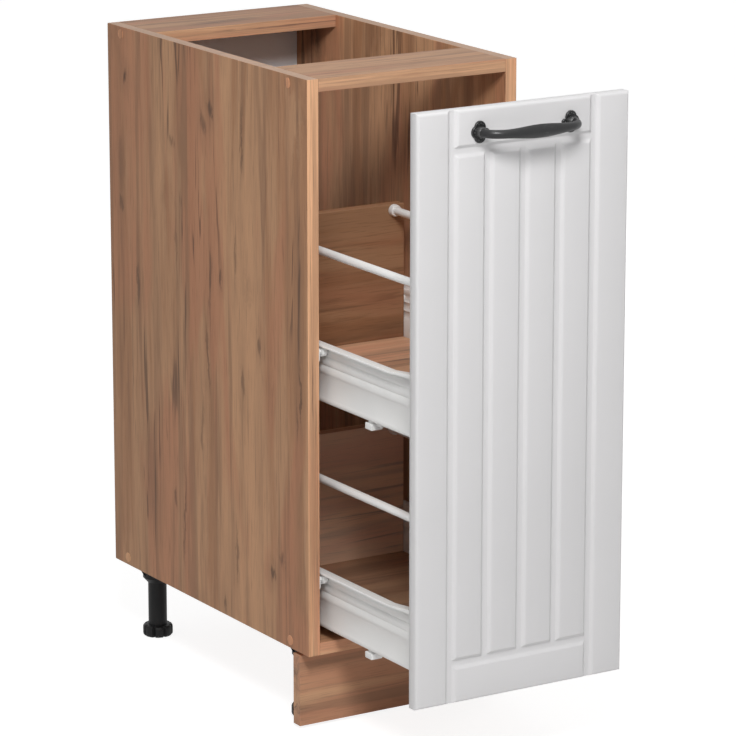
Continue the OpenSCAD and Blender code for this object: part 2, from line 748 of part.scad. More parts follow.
// Screws through the clips into the drawer bottom
module at_clip_screws() for (side = [left, right]) on_wall(side)
  translate([side_clear + clip_in + clip_block[0] / 2, clip_y + clip_block[1] / 2, -clip_neck]) children();

// Screws in the floors of the railing sockets at the drawer back
module at_socket_screws() for (side = [left, right])
  translate([side * rail_x, drawer_back_y - socket_floor, rail_up]) rotate([-90, 0, 0]) children();

module drawer_bottom(level) color(inner_wood) at_drawer(level) difference() {
  span([slack - tray_w / 2, 1, sheet_t], [tray_w / 2 - slack, drawer_l - sheet_t, tray_z]);
  at_board_screws() screw_hole(board_screw_l);
  at_clip_screws() screw_hole(board_screw_l);
}

module drawer_back(level) color(inner_wood) at_drawer(level) difference() {
  span([slack - tray_w / 2, drawer_back_y, tray_z],
    [tray_w / 2 - slack, drawer_l - sheet_t, tray_z + drawer_back_h]);
  at_back_screws() screw_hole(drawer_screw_l);
  at_socket_screws() screw_hole(drawer_screw_l);
}

module drawer_rail(side, level) color(white_steel) at_drawer(level)
  translate([side * rail_x, socket_floor + 3, rail_up]) rotate([-90, 0, 0])
    cylinder(h = drawer_back_y - 2 * socket_floor - 6, r = rail_dia / 2);

// Cup with a floor, that one end of a railing sits in, pointing along +Z
module rail_socket(l) difference() {
  cylinder(h = l, r = rail_dia / 2 + socket_wall);
  translate([0, 0, socket_floor]) cylinder(h = l, r = rail_dia / 2 + rail_fit);
  through_hole(socket_floor);
}

module rail_sockets(level) color(white_plastic) at_drawer(level) for (side = [left, right]) {
  translate([side * rail_x, 0, rail_up]) rotate([-90, 0, 0]) rail_socket(front_socket_l);
  translate([side * rail_x, drawer_back_y, rail_up]) rotate([90, 0, 0]) rail_socket(rear_socket_l);
}

// Angle on the front panel, with two rivets that hold the steel side
module front_brackets(level) color(zinc) at_drawer(level) difference() {
  for (side = [left, right]) on_wall(side) {
    span([bracket_a, 0, bracket_low], [wall_a, bracket_t, bracket_high]);
    span([wall_a - bracket_t, 0, bracket_low], [wall_a, bracket_l, bracket_high]);
    for (y = bracket_rivet_y) translate([wall_a - 1, y, bracket_rivet_z]) rotate([0, 90, 0]) {
      cylinder(h = sheet_t + 1.8, r = bracket_rivet_r);
      translate([0, 0, sheet_t + 1]) cylinder(h = 0.8, r = bracket_rivet_r + 1.5);
    }
  }
  at_front_screws() through_hole(bracket_t);
}

// Small clip screwed up under each steel side
module drawer_clips(level) color(white_plastic) at_drawer(level) for (side = [left, right]) on_wall(side)
  translate([side_clear + clip_in, clip_y, -clip_neck - clip_block[2]]) difference() {
    union() {
      cube(clip_block);
      translate([3, 3, 0]) cube([clip_block[0] - 4, clip_block[1] - 6, clip_block[2] + clip_neck]);
      translate([8, -9, clip_block[2] - 3]) cube([clip_block[0] - 8, 10, 3]);
    }
    translate([clip_block[0] / 2, clip_block[1] / 2, -1]) {
      cylinder(h = clip_block[2] + clip_neck + 2, r = screw_r + screw_play);
      cylinder(h = clip_block[2] + 1, r = screw_head_r + screw_play);
    }
  }

module drawer_screws(level) color(zinc) at_drawer(level) {
  at_board_screws() wood_screw(board_screw_l);
  at_clip_screws() wood_screw(board_screw_l);
  at_back_screws() wood_screw(drawer_screw_l);
  at_socket_screws() wood_screw(drawer_screw_l);
  at_front_screws() wood_screw(drawer_screw_l);
}

module rear_rollers(level) color(white_plastic) at_drawer(level) for (side = [left, right]) on_wall(side)
  translate([rear_roller_a, drawer_l - rear_roller_back, rear_roller_z]) roller(rear_roller_r, rear_roller_w);

side_panel(left);  // side_panel_left
side_panel(right);  // side_panel_right
bottom_panel();
top_rail(front);  // top_rail_front
top_rail(rear);  // top_rail_rear
hardboard_back();
back_nails();
confirmat_screws();
cover_caps();
leg_socket(left, front);  // leg_socket_front_left
leg_socket(right, front);  // leg_socket_front_right
leg_socket(left, rear);  // leg_socket_rear_left
leg_socket(right, rear);  // leg_socket_rear_right
leg_tube(left, front);  // leg_tube_front_left
leg_tube(right, front);  // leg_tube_front_right
leg_tube(left, rear);  // leg_tube_rear_left
leg_tube(right, rear);  // leg_tube_rear_right
foot(left, front);  // foot_front_left
foot(right, front);  // foot_front_right
foot(left, rear);  // foot_rear_left
foot(right, rear);  // foot_rear_right
leg_screws();
plinth();
plinth_clips();
plinth_screws();
runner(left, upper);  // runner_upper_left
runner(right, upper);  // runner_upper_right
runner(left, lower);  // runner_lower_left
runner(right, lower);  // runner_lower_right
runner_screws();
front_rollers(upper);  // front_rollers_upper
front_rollers(lower);  // front_rollers_lower
front_panel();
bumper_pads();
handle_bow();
handle_rosettes();
handle_screws();
drawer_side(left, upper);  // upper_side_left
drawer_side(right, upper);  // upper_side_right
drawer_bottom(upper);  // upper_bottom
drawer_back(upper);  // upper_back
drawer_rail(left, upper);  // upper_rail_left
drawer_rail(right, upper);  // upper_rail_right
rail_sockets(upper);  // upper_rail_sockets
front_brackets(upper);  // upper_front_brackets
drawer_clips(upper);  // upper_clips
drawer_screws(upper);  // upper_screws
rear_rollers(upper);  // upper_rear_rollers
drawer_side(left, lower);  // lower_side_left
drawer_side(right, lower);  // lower_side_right
drawer_bottom(lower);  // lower_bottom
drawer_back(lower);  // lower_back
drawer_rail(left, lower);  // lower_rail_left
drawer_rail(right, lower);  // lower_rail_right
rail_sockets(lower);  // lower_rail_sockets
front_brackets(lower);  // lower_front_brackets
drawer_clips(lower);  // lower_clips
drawer_screws(lower);  // lower_screws
rear_rollers(lower);  // lower_rear_rollers
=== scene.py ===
"""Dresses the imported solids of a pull-out pantry cabinet with finished pieces and materials.

The sub-assembly classes hold their sizes in millimetres. Workshop.deliver turns pieces into metres.
"""

import logging
import math
from collections.abc import Iterable, Mapping, Sequence
from dataclasses import dataclass
from enum import Enum
from functools import reduce
from itertools import product

import bmesh
import bpy
from bmesh.types import BMEdge, BMesh, BMVert
from mathutils import Matrix, Vector

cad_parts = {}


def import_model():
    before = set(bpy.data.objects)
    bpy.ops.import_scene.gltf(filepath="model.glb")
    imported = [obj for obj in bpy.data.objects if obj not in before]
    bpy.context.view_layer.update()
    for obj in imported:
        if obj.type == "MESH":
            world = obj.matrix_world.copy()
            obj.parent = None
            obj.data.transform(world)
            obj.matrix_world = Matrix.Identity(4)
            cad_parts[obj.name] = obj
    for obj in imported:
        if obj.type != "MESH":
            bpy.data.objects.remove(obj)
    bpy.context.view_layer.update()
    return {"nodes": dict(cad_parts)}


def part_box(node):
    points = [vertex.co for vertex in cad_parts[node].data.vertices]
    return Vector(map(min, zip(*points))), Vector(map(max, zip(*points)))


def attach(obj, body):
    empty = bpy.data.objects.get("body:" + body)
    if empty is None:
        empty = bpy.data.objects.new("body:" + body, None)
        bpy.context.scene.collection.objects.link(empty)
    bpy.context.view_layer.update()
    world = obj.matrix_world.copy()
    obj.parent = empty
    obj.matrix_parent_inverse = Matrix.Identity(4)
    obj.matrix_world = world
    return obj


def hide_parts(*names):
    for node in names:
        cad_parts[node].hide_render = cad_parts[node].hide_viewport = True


LOG = logging.getLogger("cabinet")
METRES_PER_MM = 0.001
PHOTO_WIDTH = 736

Triple = tuple[float, float, float]
Points = Sequence[tuple[float, float]]
Inputs = Mapping[str | int, object]
Material = bpy.types.Material
Socket = bpy.types.NodeSocket

# Bodies that most pieces ride on
CARCASS = "carcass"
PULLOUT = "pullout"

# Shared places, in millimetres
INNER_WALL_X = 134.0
CARCASS_FRONT_Y = -111.5
CARCASS_UNDERSIDE_Z = 100.0
PANEL_BACK_Y = -337.5


class Axis(Enum):
    """A direction of the part."""

    X = 0
    Y = 1
    Z = 2


class Named(Enum):
    """A choice that node names spell out."""

    @property
    def word(self) -> str:
        """Its word in node names."""
        return self.name.lower()


class Side(Named):
    """A side of the part, seen from the front."""

    LEFT = -1
    RIGHT = 1


class Level(Named):
    """A drawer, with the height of its steel sides' bottom edge in millimetres."""

    LOWER = 129.0
    UPPER = 417.0


# Shader maths


class Value:
    """A number that varies over a surface. Arithmetic on it adds Math nodes."""

    def __init__(self, graph: "Graph", socket: Socket) -> None:
        """Wraps an output socket of a graph's node."""
        self.graph = graph
        self.socket = socket

    def __add__(self, other: "Value | float") -> "Value":
        """Sum."""
        return self.graph.maths("ADD", self, other)

    def __sub__(self, other: "Value | float") -> "Value":
        """Difference."""
        return self.graph.maths("SUBTRACT", self, other)

    def __rsub__(self, other: float) -> "Value":
        """Difference from a plain number."""
        return self.graph.maths("SUBTRACT", other, self)

    def __mul__(self, other: "Value | float") -> "Value":
        """Product."""
        return self.graph.maths("MULTIPLY", self, other)

    __radd__, __rmul__ = __add__, __mul__

    def or_more(self, other: "Value") -> "Value":
        """The larger of both."""
        return self.graph.maths("MAXIMUM", self, other)

    def between(self, low: float, high: float) -> "Value":
        """Smooth step from 0 at low to 1 at high.

        Args:
            low: Where the step starts.
            high: Where it ends.

        Returns:
            The step's value.
        """
        inputs = {"Value": self, "From Min": low, "From Max": high}
        node = self.graph.node("ShaderNodeMapRange", inputs, interpolation_type="SMOOTHSTEP")
        return Value(self.graph, node.outputs[0])


class Graph:
    """The node graph of a material or of the world."""

    def __init__(self, owner: bpy.types.ID) -> None:
        """Gives the owner an empty node tree.

        Args:
            owner: The material or world.
        """
        owner.use_nodes = True
        self.owner = owner
        self.tree = owner.node_tree
        self.tree.nodes.clear()

    def node(self, kind: str, inputs: Inputs | None = None, **settings: object) -> bpy.types.Node:
        """Adds a node.

        Args:
            kind: The node's type.
            inputs: Its sockets' values, or the values or sockets that they are linked to.
            **settings: Its settings, set first. stops holds a colour ramp's positions and colours.

        Returns:
            The node.
        """
        node = self.tree.nodes.new(kind)
        stops = settings.pop("stops", ())
        while stops and len(node.color_ramp.elements) < len(stops):
            node.color_ramp.elements.new(1)
        for i, (position, colour) in enumerate(stops):
            node.color_ramp.elements[i].position = position
            node.color_ramp.elements[i].color = (*colour, 1)
        for key, setting in settings.items():
            setattr(node, key, setting)
        for key, given in (inputs or {}).items():
            source = given.socket if isinstance(given, Value) else given
            if isinstance(source, Socket):
                self.tree.links.new(source, node.inputs[key])
            else:
                node.inputs[key].default_value = source
        return node

    def maths(self, operation: str, *operands: Value | float) -> Value:
        """Adds a Math node and gives its result."""
        node = self.node("ShaderNodeMath", dict(enumerate(operands)), operation=operation)
        return Value(self, node.outputs[0])

    def vector(self, operation: str, *operands: Socket | Triple) -> Socket:
        """Adds a Vector Math node and gives its result."""
        return self.node("ShaderNodeVectorMath", dict(enumerate(operands)), operation=operation).outputs[0]

    def combined(self, *parts: Value | float) -> Socket:
        """Gives the vector that has these parts."""
        return self.node("ShaderNodeCombineXYZ", dict(enumerate(parts))).outputs[0]

    def seen(self) -> Value:
        """Gives 1 for rays that show a surface to the camera, straight, mirrored or through glass.

        Returns:
            The value.
        """
        rays = self.node("ShaderNodeLightPath").outputs
        kinds = ("Is Camera Ray", "Is Glossy Ray", "Is Transmission Ray")
        return reduce(Value.or_more, [Value(self, rays[kind]) for kind in kinds])

    def places(self, scale: Triple = (1, 1, 1), shift: Triple = (0, 0, 0)) -> Socket:
        """Gives the object coordinates, shifted and then scaled per axis."""
        coordinates = self.node("ShaderNodeTexCoord").outputs["Object"]
        return self.vector("MULTIPLY", self.vector("ADD", coordinates, shift), scale)

    def noise(
        self, places: Socket, scale: float, detail: float = 2, rough: float = 0.5, bend: float = 0
    ) -> Value:
        """Adds a noise texture.

        Args:
            places: The coordinates to look it up at.
            scale: Its scale.
            detail: Its number of finer layers.
            rough: The strength of the finer layers.
            bend: Its distortion.

        Returns:
            The noise, mostly between 0.3 and 0.7.
        """
        inputs = {"Vector": places, "Scale": scale, "Detail": detail, "Roughness": rough, "Distortion": bend}
        return Value(self, self.node("ShaderNodeTexNoise", inputs, normalize=True).outputs[0])

    def mix(self, factor: Value | float, first: Socket | Triple, second: Socket | Triple) -> Socket:
        """Mixes two colours.

        Args:
            factor: How much of the second colour is used.
            first: The colour at factor 0.
            second: The colour at factor 1.

        Returns:
            The mixed colour.
        """
        inputs = {slot: (*c, 1) if isinstance(c, tuple) else c for slot, c in ((6, first), (7, second))}
        return self.node("ShaderNodeMix", {0: factor, **inputs}, data_type="RGBA").outputs[2]

    def bump(self, height: Value, distance: float, strength: float, under: Socket | None = None) -> Socket:
        """Turns a height into a bumped normal.

        Args:
            height: The height, from 0 to 1.
            distance: What a height of 1 is, in metres.
            strength: How much of it shows.
            under: A normal that it is added to.

        Returns:
            The normal.
        """
        inputs = {"Height": height, "Distance": distance, "Strength": strength}
        if under is not None:
            inputs["Normal"] = under
        return self.node("ShaderNodeBump", inputs).outputs[0]


# Finishes


def shade(colour: Triple, factor: float) -> Triple:
    """Gives a colour made lighter or darker by a factor."""
    return tuple(min(c * factor, 1.0) for c in colour)


@dataclass(frozen=True)
class Finish:
    """A named finish, which can make its material."""

    name: str

    def material(self) -> Material:
        """Makes the material.

        Returns:
            The material.
        """
        graph = Graph(bpy.data.materials.new(self.name))
        shader = graph.node("ShaderNodeBsdfPrincipled", self.look(graph))
        graph.node("ShaderNodeOutputMaterial", {"Surface": shader.outputs[0]})
        return graph.owner

    def look(self, graph: Graph) -> Inputs:
        """Gives the inputs of the Principled shader."""
        raise NotImplementedError


@dataclass(frozen=True)
class Mark:
    """A dark knot or crack in the print of an upright board, with its place and radii in millimetres."""

    place: float
    height: float
    across: float
    along: float
    strength: float


@dataclass(frozen=True)
class OakLaminate(Finish):
    """Board covered with printed oak: long fibres, darker figure, knots and short cracks."""

    grain: Axis
    shift: Triple
    # tone: the print's brightness, which each board's copy also sets lighter or darker for the light that
    # board gets: painted light and shade
    tone: float = 1.0
    knots: float = 1.0
    tan: Triple = (0.52, 0.29, 0.16)
    brown: Triple = (0.4, 0.205, 0.107)
    red: Triple = (0.47, 0.21, 0.115)
    grey: Triple = (0.235, 0.125, 0.07)
    dark: Triple = (0.055, 0.028, 0.017)
    rough: float = 0.42
    fineness: float = 1.0
    fade: float = 0.0
    faded: Triple = (0.3, 0.27, 0.25)
    marks: tuple[Mark, ...] = ()
    marks_axis: Axis = Axis.Y
    marks_wander: float = 0.036

    def _places(self, graph: Graph, across: float, along: float) -> Socket:
        """Gives coordinates that count this many features per metre across and along the grain."""
        across *= self.fineness
        return graph.places(tuple(along if axis is self.grain else across for axis in Axis), self.shift)

    def _noise(self, graph: Graph, across: float, along: float, *rest: float) -> Value:
        """Gives a noise with this many features per metre across and along the grain."""
        return graph.noise(self._places(graph, across, along), 1, *rest)

    def _knots(self, graph: Graph) -> tuple[Value, Value]:
        """Gives the distance from the nearest knot, with a ragged rim, and how strong that knot is.

        Args:
            graph: The material's graph.

        Returns:
            The distance and the strength.
        """
        ragged = (self._noise(graph, 60, 24, 4, 0.7) - 0.5) * 0.6
        places = graph.vector("ADD", self._places(graph, 10.5, 5.4), graph.combined(ragged, ragged, ragged))
        inputs = {"Vector": places, "Scale": 1, "Randomness": 1}
        cells = graph.node("ShaderNodeTexVoronoi", inputs, feature="F1")
        draw = Value(graph, graph.node("ShaderNodeSeparateColor", {0: cells.outputs["Color"]}).outputs[0])
        return Value(graph, cells.outputs["Distance"]), draw.between(0.5, 0.95) * self.knots

    def _own_marks(self, graph: Graph) -> tuple[Value, Value]:
        """Gives how strong the cores and the smoky surroundings of the board's own marks are.

        Args:
            graph: The material's graph.

        Returns:
            Both strengths.
        """
        slot = self.marks_axis.value
        ragged = (self._noise(graph, 110, 30, 3, 0.7) - 0.5) * (self.marks_wander * 0.5)
        wander = (self._noise(graph, 3, 7) - 0.5) * self.marks_wander
        nudge = [0.0, 0.0, ragged * 2.0]
        nudge[slot] = ragged + wander
        bent = graph.vector("ADD", graph.places(), graph.combined(*nudge))
        cores, surroundings = [], []
        for mark in self.marks:
            centre = [0.0, 0.0, mark.height * METRES_PER_MM]
            share = [0.0, 0.0, 1 / (mark.along * METRES_PER_MM)]
            centre[slot], share[slot] = mark.place * METRES_PER_MM, 1 / (mark.across * METRES_PER_MM)
            away = graph.vector("MULTIPLY", graph.vector("SUBTRACT", bent, tuple(centre)), tuple(share))
            length = graph.node("ShaderNodeVectorMath", {0: away}, operation="LENGTH").outputs["Value"]
            cores.append((1 - Value(graph, length).between(0.2, 0.95)) * mark.strength)
            surroundings.append((1 - Value(graph, length).between(0.7, 2.8)) * mark.strength)
        return reduce(Value.or_more, cores), reduce(Value.or_more, surroundings)

    def _figure(self, graph: Graph, halo: Value) -> Value:
        """Gives the long bands of the figure, which swing round the knots.

        Args:
            graph: The material's graph.
            halo: How near the closest knot is, from 0 to 1.

        Returns:
            The figure's value.
        """
        flow = self._noise(graph, 5, 1.1)
        swing = graph.combined(flow * 2.2 + halo * 0.5, flow * 1.4 + halo * 0.5, flow)
        return graph.noise(graph.vector("ADD", self._places(graph, 13, 0.8), swing), 1.5, 6, 0.56, 0.25)

    def look(self, graph: Graph) -> Inputs:
        """Gives the laminate's shader inputs: the figure's bands with thinner layers over them.

        Args:
            graph: The material's graph.

        Returns:
            The inputs by socket.
        """
        knot, strength = self._knots(graph)
        halo = (1 - knot.between(0.06, 0.42)) * strength
        eye = (1 - knot.between(0.04, 0.17)) * strength
        figure = self._figure(graph, halo)
        fine = self._noise(graph, 170, 7, 4, 0.6, 0.6)
        pores = self._noise(graph, 900, 26)
        tint = self._noise(graph, 11, 1.7, 3, 0.6, 0.6)
        smoke = self._noise(graph, 40, 1.7, 4, 0.58, 0.5)
        checks = self._noise(graph, 75, 4.2, 3, 0.6, 0.5).between(0.56, 0.64)
        checks = checks * self._noise(graph, 8, 2.6).between(0.47, 0.58)

        bands = [(0.33, self.brown, 0.82), (0.43, self.brown, 1.02)]
        bands += [(0.5, self.tan, 0.93), (0.62, self.tan, 1.08)]
        stops = [(place, shade(base, factor * self.tone)) for place, base, factor in bands]
        colour = graph.node("ShaderNodeValToRGB", {0: figure}, stops=stops).outputs[0]
        layers = [
            (tint.between(0.47, 0.6) * 0.7, self.red, 1.0),
            (smoke.between(0.5, 0.63) * 0.6, self.grey, 1.15),
            ((1 - fine.between(0.3, 0.45)) * 0.4, self.grey, 0.95),
            (pores.between(0.56, 0.7) * 0.28, self.dark, 1.8),
            (halo * 0.45, self.grey, 0.9),
            (checks * 0.72, self.dark, 1.5),
            (eye * 0.85, self.dark, 1.0),
        ]
        if self.marks:
            core, around = self._own_marks(graph)
            layers += [(around * 0.3, self.grey, 0.9), (core * 0.9, self.dark, 1.3)]
        for mask, base, factor in [*layers, (self.fade, self.faded, 1.0)]:
            colour = graph.mix(mask, colour, shade(base, factor * self.tone))
        return {
            "Base Color": colour,
            "Roughness": figure * 0.08 + self.rough + pores * 0.06,
            "Specular IOR Level": 0.15,
            "Normal": graph.bump(fine * 0.5 + pores * 0.5, 0.00012, 0.35),
        }


@dataclass(frozen=True)
class PaleEdging(Finish):
    """Pale paper edging on a cut edge, with faint speckles of the board under it."""

    colour: Triple = (0.6, 0.385, 0.262)

    def look(self, graph: Graph) -> Inputs:
        """Gives the edging's shader inputs.

        Args:
            graph: The material's graph.

        Returns:
            The inputs by socket.
        """
        places = graph.places()
        chips, smudge = graph.noise(places, 420, 3, 0.6), graph.noise(places, 30)
        colour = graph.mix(chips.between(0.4, 0.62) * 0.5, shade(self.colour, 0.72), self.colour)
        colour = graph.mix(smudge.between(0.45, 0.65) * 0.45, colour, shade(self.colour, 0.62))
        normal = graph.bump(chips, 0.00015, 0.4)
        return {"Base Color": colour, "Roughness": chips * 0.2 + 0.5, "Normal": normal}


@dataclass(frozen=True)
class MatteFilm(Finish):
    """Matte white film drawn over a milled board."""

    colour: Triple = (0.74, 0.73, 0.735)

    def look(self, graph: Graph) -> Inputs:
        """Gives the film's shader inputs.

        Args:
            graph: The material's graph.

        Returns:
            The inputs by socket.
        """
        places = graph.places()
        skin, drape, tint = graph.noise(places, 900, 3, 0.55), graph.noise(places, 14), graph.noise(places, 5)
        return {
            "Base Color": graph.mix(tint.between(0.35, 0.7) * 0.5, self.colour, shade(self.colour, 0.965)),
            "Roughness": skin * 0.1 + 0.3,
            "Specular IOR Level": 0.45,
            "Normal": graph.bump(skin, 0.00004, 0.5, graph.bump(drape, 0.0006, 0.12)),
        }


@dataclass(frozen=True)
class PowderCoat(Finish):
    """Baked powder coat on steel, with its fine orange-peel skin."""

    colour: Triple = (0.88, 0.878, 0.865)

    def look(self, graph: Graph) -> Inputs:
        """Gives the coat's shader inputs.

        Args:
            graph: The material's graph.

        Returns:
            The inputs by socket.
        """
        places = graph.places()
        peel, cloud, dust = graph.noise(places, 650), graph.noise(places, 12), graph.noise(places, 2200, 1)
        colour = graph.mix(cloud.between(0.4, 0.7) * 0.6, self.colour, shade(self.colour, 0.94))
        colour = graph.mix(dust.between(0.68, 0.74) * 0.25, colour, shade(self.colour, 0.6))
        normal = graph.bump(peel, 0.00006, 0.45)
        return {"Base Color": colour, "Roughness": peel * 0.16 + 0.3, "Normal": normal}


@dataclass(frozen=True)
class MouldedPlastic(Finish):
    """Injection-moulded plastic with a spark-eroded grain and faint flow marks."""

    colour: Triple
    rough: float
    grain: float = 0.00005
    gloss: float = 0.5

    def look(self, graph: Graph) -> Inputs:
        """Gives the plastic's shader inputs.

        Args:
            graph: The material's graph.

        Returns:
            The inputs by socket.
        """
        grain = graph.noise(graph.places(), 1500, 3, 0.6)
        flow = graph.noise(graph.places((40, 40, 160)), 1)
        colour = graph.mix(flow.between(0.4, 0.68) * 0.5, self.colour, shade(self.colour, 0.86))
        return {
            "Base Color": graph.mix(grain.between(0.55, 0.7) * 0.3, colour, shade(self.colour, 1.25)),
            "Roughness": grain * 0.2 + (self.rough - 0.1),
            "Specular IOR Level": self.gloss,
            "Normal": graph.bump(grain, self.grain, 0.6),
        }


@dataclass(frozen=True)
class GraphiteCasting(Finish):
    """Dark painted zinc casting, brushed lighter where hands and tools wore it, and lighter on its ridges,
    there partly wear and partly a painted highlight.
    """

    colour: Triple = (0.022, 0.022, 0.023)
    rubbed: Triple = (0.11, 0.11, 0.11)

    def look(self, graph: Graph) -> Inputs:
        """Gives the casting's shader inputs.

        Args:
            graph: The material's graph.

        Returns:
            The inputs by socket.
        """
        hammer = graph.noise(graph.places(), 230, 3, 0.55)
        rub = graph.noise(graph.places((55, 160, 260)), 1, 3, 0.6)
        # Pointiness lightens sharp ridges and edges: partly edge wear, partly a painted highlight
        ridge = Value(graph, graph.node("ShaderNodeNewGeometry").outputs["Pointiness"]).between(0.52, 0.6)
        wear_and_highlight = (ridge * 0.5 + rub.between(0.5, 0.72) * 0.35).between(0.1, 0.8)
        return {
            "Base Color": graph.mix(wear_and_highlight, self.colour, self.rubbed),
            "Metallic": wear_and_highlight * 0.5 + 0.35,
            "Roughness": hammer * 0.22 + 0.24,
            "Normal": graph.bump(hammer, 0.0002, 0.5),
        }


@dataclass(frozen=True)
class ZincPlating(Finish):
    """Bright zinc plating with a faint yellow and blue bloom."""

    blue: Triple = (0.52, 0.54, 0.56)
    yellow: Triple = (0.56, 0.54, 0.46)

    def look(self, graph: Graph) -> Inputs:
        """Gives the plating's shader inputs.

        Args:
            graph: The material's graph.

        Returns:
            The inputs by socket.
        """
        bloom = graph.noise(graph.places(), 90, 3, 0.6)
        lines = graph.noise(graph.places((300, 2600, 300)), 1)
        return {
            "Base Color": graph.mix(bloom.between(0.42, 0.66), self.blue, self.yellow),
            "Metallic": 0.9,
            "Roughness": bloom * 0.3 + 0.2 + lines * 0.1,
            "Normal": graph.bump(lines, 0.00003, 0.4),
        }


@dataclass(frozen=True)
class PaintedHardboard(Finish):
    """Hardboard that is painted pale grey on its inner face and left raw on its outer face."""

    middle_y: float
    # paint is lighter than the board's pale grey, making up for the shade that the inner face lies in:
    # painted light
    paint: Triple = (0.9, 0.92, 0.95)
    raw: Triple = (0.29, 0.165, 0.088)

    def look(self, graph: Graph) -> Inputs:
        """Gives the hardboard's shader inputs.

        Args:
            graph: The material's graph.

        Returns:
            The inputs by socket.
        """
        coordinates = graph.node("ShaderNodeTexCoord").outputs["Object"]
        depth = Value(graph, graph.node("ShaderNodeSeparateXYZ", {0: coordinates}).outputs[1])
        outer = (depth - self.middle_y).between(-0.0004, 0.0004)
        fibres, blotch = graph.noise(graph.places(), 700, 4, 0.65), graph.noise(graph.places(), 22, 3, 0.55)
        weave = graph.noise(graph.places((420, 420, 420)), 1, 1, 0.4, 1.5)
        raw = graph.mix(fibres.between(0.36, 0.64), shade(self.raw, 0.68), self.raw)
        raw = graph.mix(blotch.between(0.42, 0.68) * 0.4, raw, shade(self.raw, 0.75))
        paint = graph.mix(blotch.between(0.4, 0.7) * 0.5, self.paint, shade(self.paint, 0.93))
        return {
            "Base Color": graph.mix(outer, paint, raw),
            "Roughness": outer * 0.25 + 0.5,
            "Normal": graph.bump(fibres * 0.4 + weave * 0.6, 0.0003, 0.35),
        }


# Forms, in millimetres


def moved(x: float, y: float, z: float) -> Matrix:
    """Gives the transform that moves by these lengths."""
    return Matrix.Translation((x, y, z))


def spun(angle: float) -> Matrix:
    """Gives the turn about Z by an angle in radians."""
    return Matrix.Rotation(angle, 4, "Z")


def facing(axis: Axis, sign: int = 1) -> Matrix:
    """Gives the turn that lays +Z along an axis, or against it where sign is -1.

    Args:
        axis: The axis.
        sign: 1 for along the axis, -1 for against it.

    Returns:
        The turn.
    """
    if axis is Axis.X:
        return Matrix.Rotation(math.radians(90 * sign), 4, "Y")
    return Matrix.Rotation(math.radians(-90 * sign) if axis is Axis.Y else math.pi * (sign < 0), 4, "X")


def mirrored(side: Side) -> Matrix:
    """Gives the transform from a left-hand form to the given side."""
    return Matrix.Diagonal((-side.value, 1, 1, 1))


DEPTH_SECTION = Matrix(((1, 0, 0, 0), (0, 0, 1, 0), (0, 1, 0, 0), (0, 0, 0, 1)))
"""Turns a section in X and Y, drawn out along Z, into one in X and Z that runs along Y."""


def round_off(form: BMesh, edges: Iterable[BMEdge], radius: float, segments: int = 2) -> None:
    """Bevels edges of a form to a round.

    Args:
        form: The form.
        edges: The edges to bevel.
        radius: The width of the bevel.
        segments: Its number of steps.
    """
    bmesh.ops.bevel(
        form,
        geom=list(edges),
        offset=radius,
        offset_type="OFFSET",
        affect="EDGES",
        segments=segments,
        profile=0.5,
        clamp_overlap=True,
        material=-1,
    )


def block(low: Sequence[float], high: Sequence[float], radius: float = 0.5, segments: int = 2) -> BMesh:
    """Makes a block with softened edges.

    Args:
        low: Its lowest corner.
        high: Its highest corner.
        radius: The width of the softened edges, or 0 for none.
        segments: Their number of steps.

    Returns:
        The form.
    """
    form = bmesh.new()
    bmesh.ops.create_cube(form, size=1)
    bmesh.ops.scale(form, vec=Vector(high) - Vector(low), verts=form.verts)
    bmesh.ops.translate(form, vec=(Vector(low) + Vector(high)) / 2, verts=form.verts)
    if radius:
        round_off(form, form.edges, radius, segments)
    return form


def turned(profile: Points, steps: int = 32, ring: bool = False) -> BMesh:
    """Makes a form by turning a profile about Z.

    Args:
        profile: Its points, as radius and height.
        steps: The number of steps in a full turn.
        ring: True if the profile's last point joins its first.

    Returns:
        The form.
    """
    form = bmesh.new()
    points = [form.verts.new((r, 0, h)) for r, h in profile]
    ends = points[1:] + points[:1] if ring else points[1:]
    lines = [form.edges.new(pair) for pair in zip(points, ends)]
    bmesh.ops.spin(
        form,
        geom=points + lines,
        cent=(0, 0, 0),
        axis=(0, 0, 1),
        dvec=(0, 0, 0),
        angle=math.tau,
        steps=steps,
        use_merge=True,
        use_duplicate=False,
    )
    bmesh.ops.remove_doubles(form, verts=form.verts, dist=0.001)
    bmesh.ops.recalc_face_normals(form, faces=form.faces)
    return form


def grown(form: BMesh, edges: Sequence[BMEdge]) -> tuple[list[BMVert], list[BMEdge]]:
    """Extrudes a run of edges in place, and gives the new points and the new edges between them.

    Args:
        form: The form.
        edges: The run of edges.

    Returns:
        The new points, and the new edges between them.
    """
    geometry = bmesh.ops.extrude_edge_only(form, edges=edges)["geom"]
    points = [g for g in geometry if isinstance(g, BMVert)]
    fresh = set(points)
    return points, [g for g in geometry if isinstance(g, BMEdge) and fresh.issuperset(g.verts)]


def drawn_out(line: Points, stations: Sequence[float], closed: bool = False) -> BMesh:
    """Draws a line in X and Y out along Z.

    Args:
        line: The line's points.
        stations: The heights of its copies, from the first to the last.
        closed: True if the line closes, which then gives a solid with two ends.

    Returns:
        The form.
    """
    form = bmesh.new()
    points = [form.verts.new((x, y, stations[0])) for x, y in line]
    if closed:
        form.faces.new(points)
        front = list(form.edges)
    else:
        front = [form.edges.new(pair) for pair in zip(points, points[1:])]
    for before, after in zip(stations, stations[1:]):
        copies, front = grown(form, front)
        bmesh.ops.translate(form, vec=(0, 0, after - before), verts=copies)
    if closed:
        bmesh.ops.edgeloop_fill(form, edges=front)
    bmesh.ops.recalc_face_normals(form, faces=form.faces)
    return form


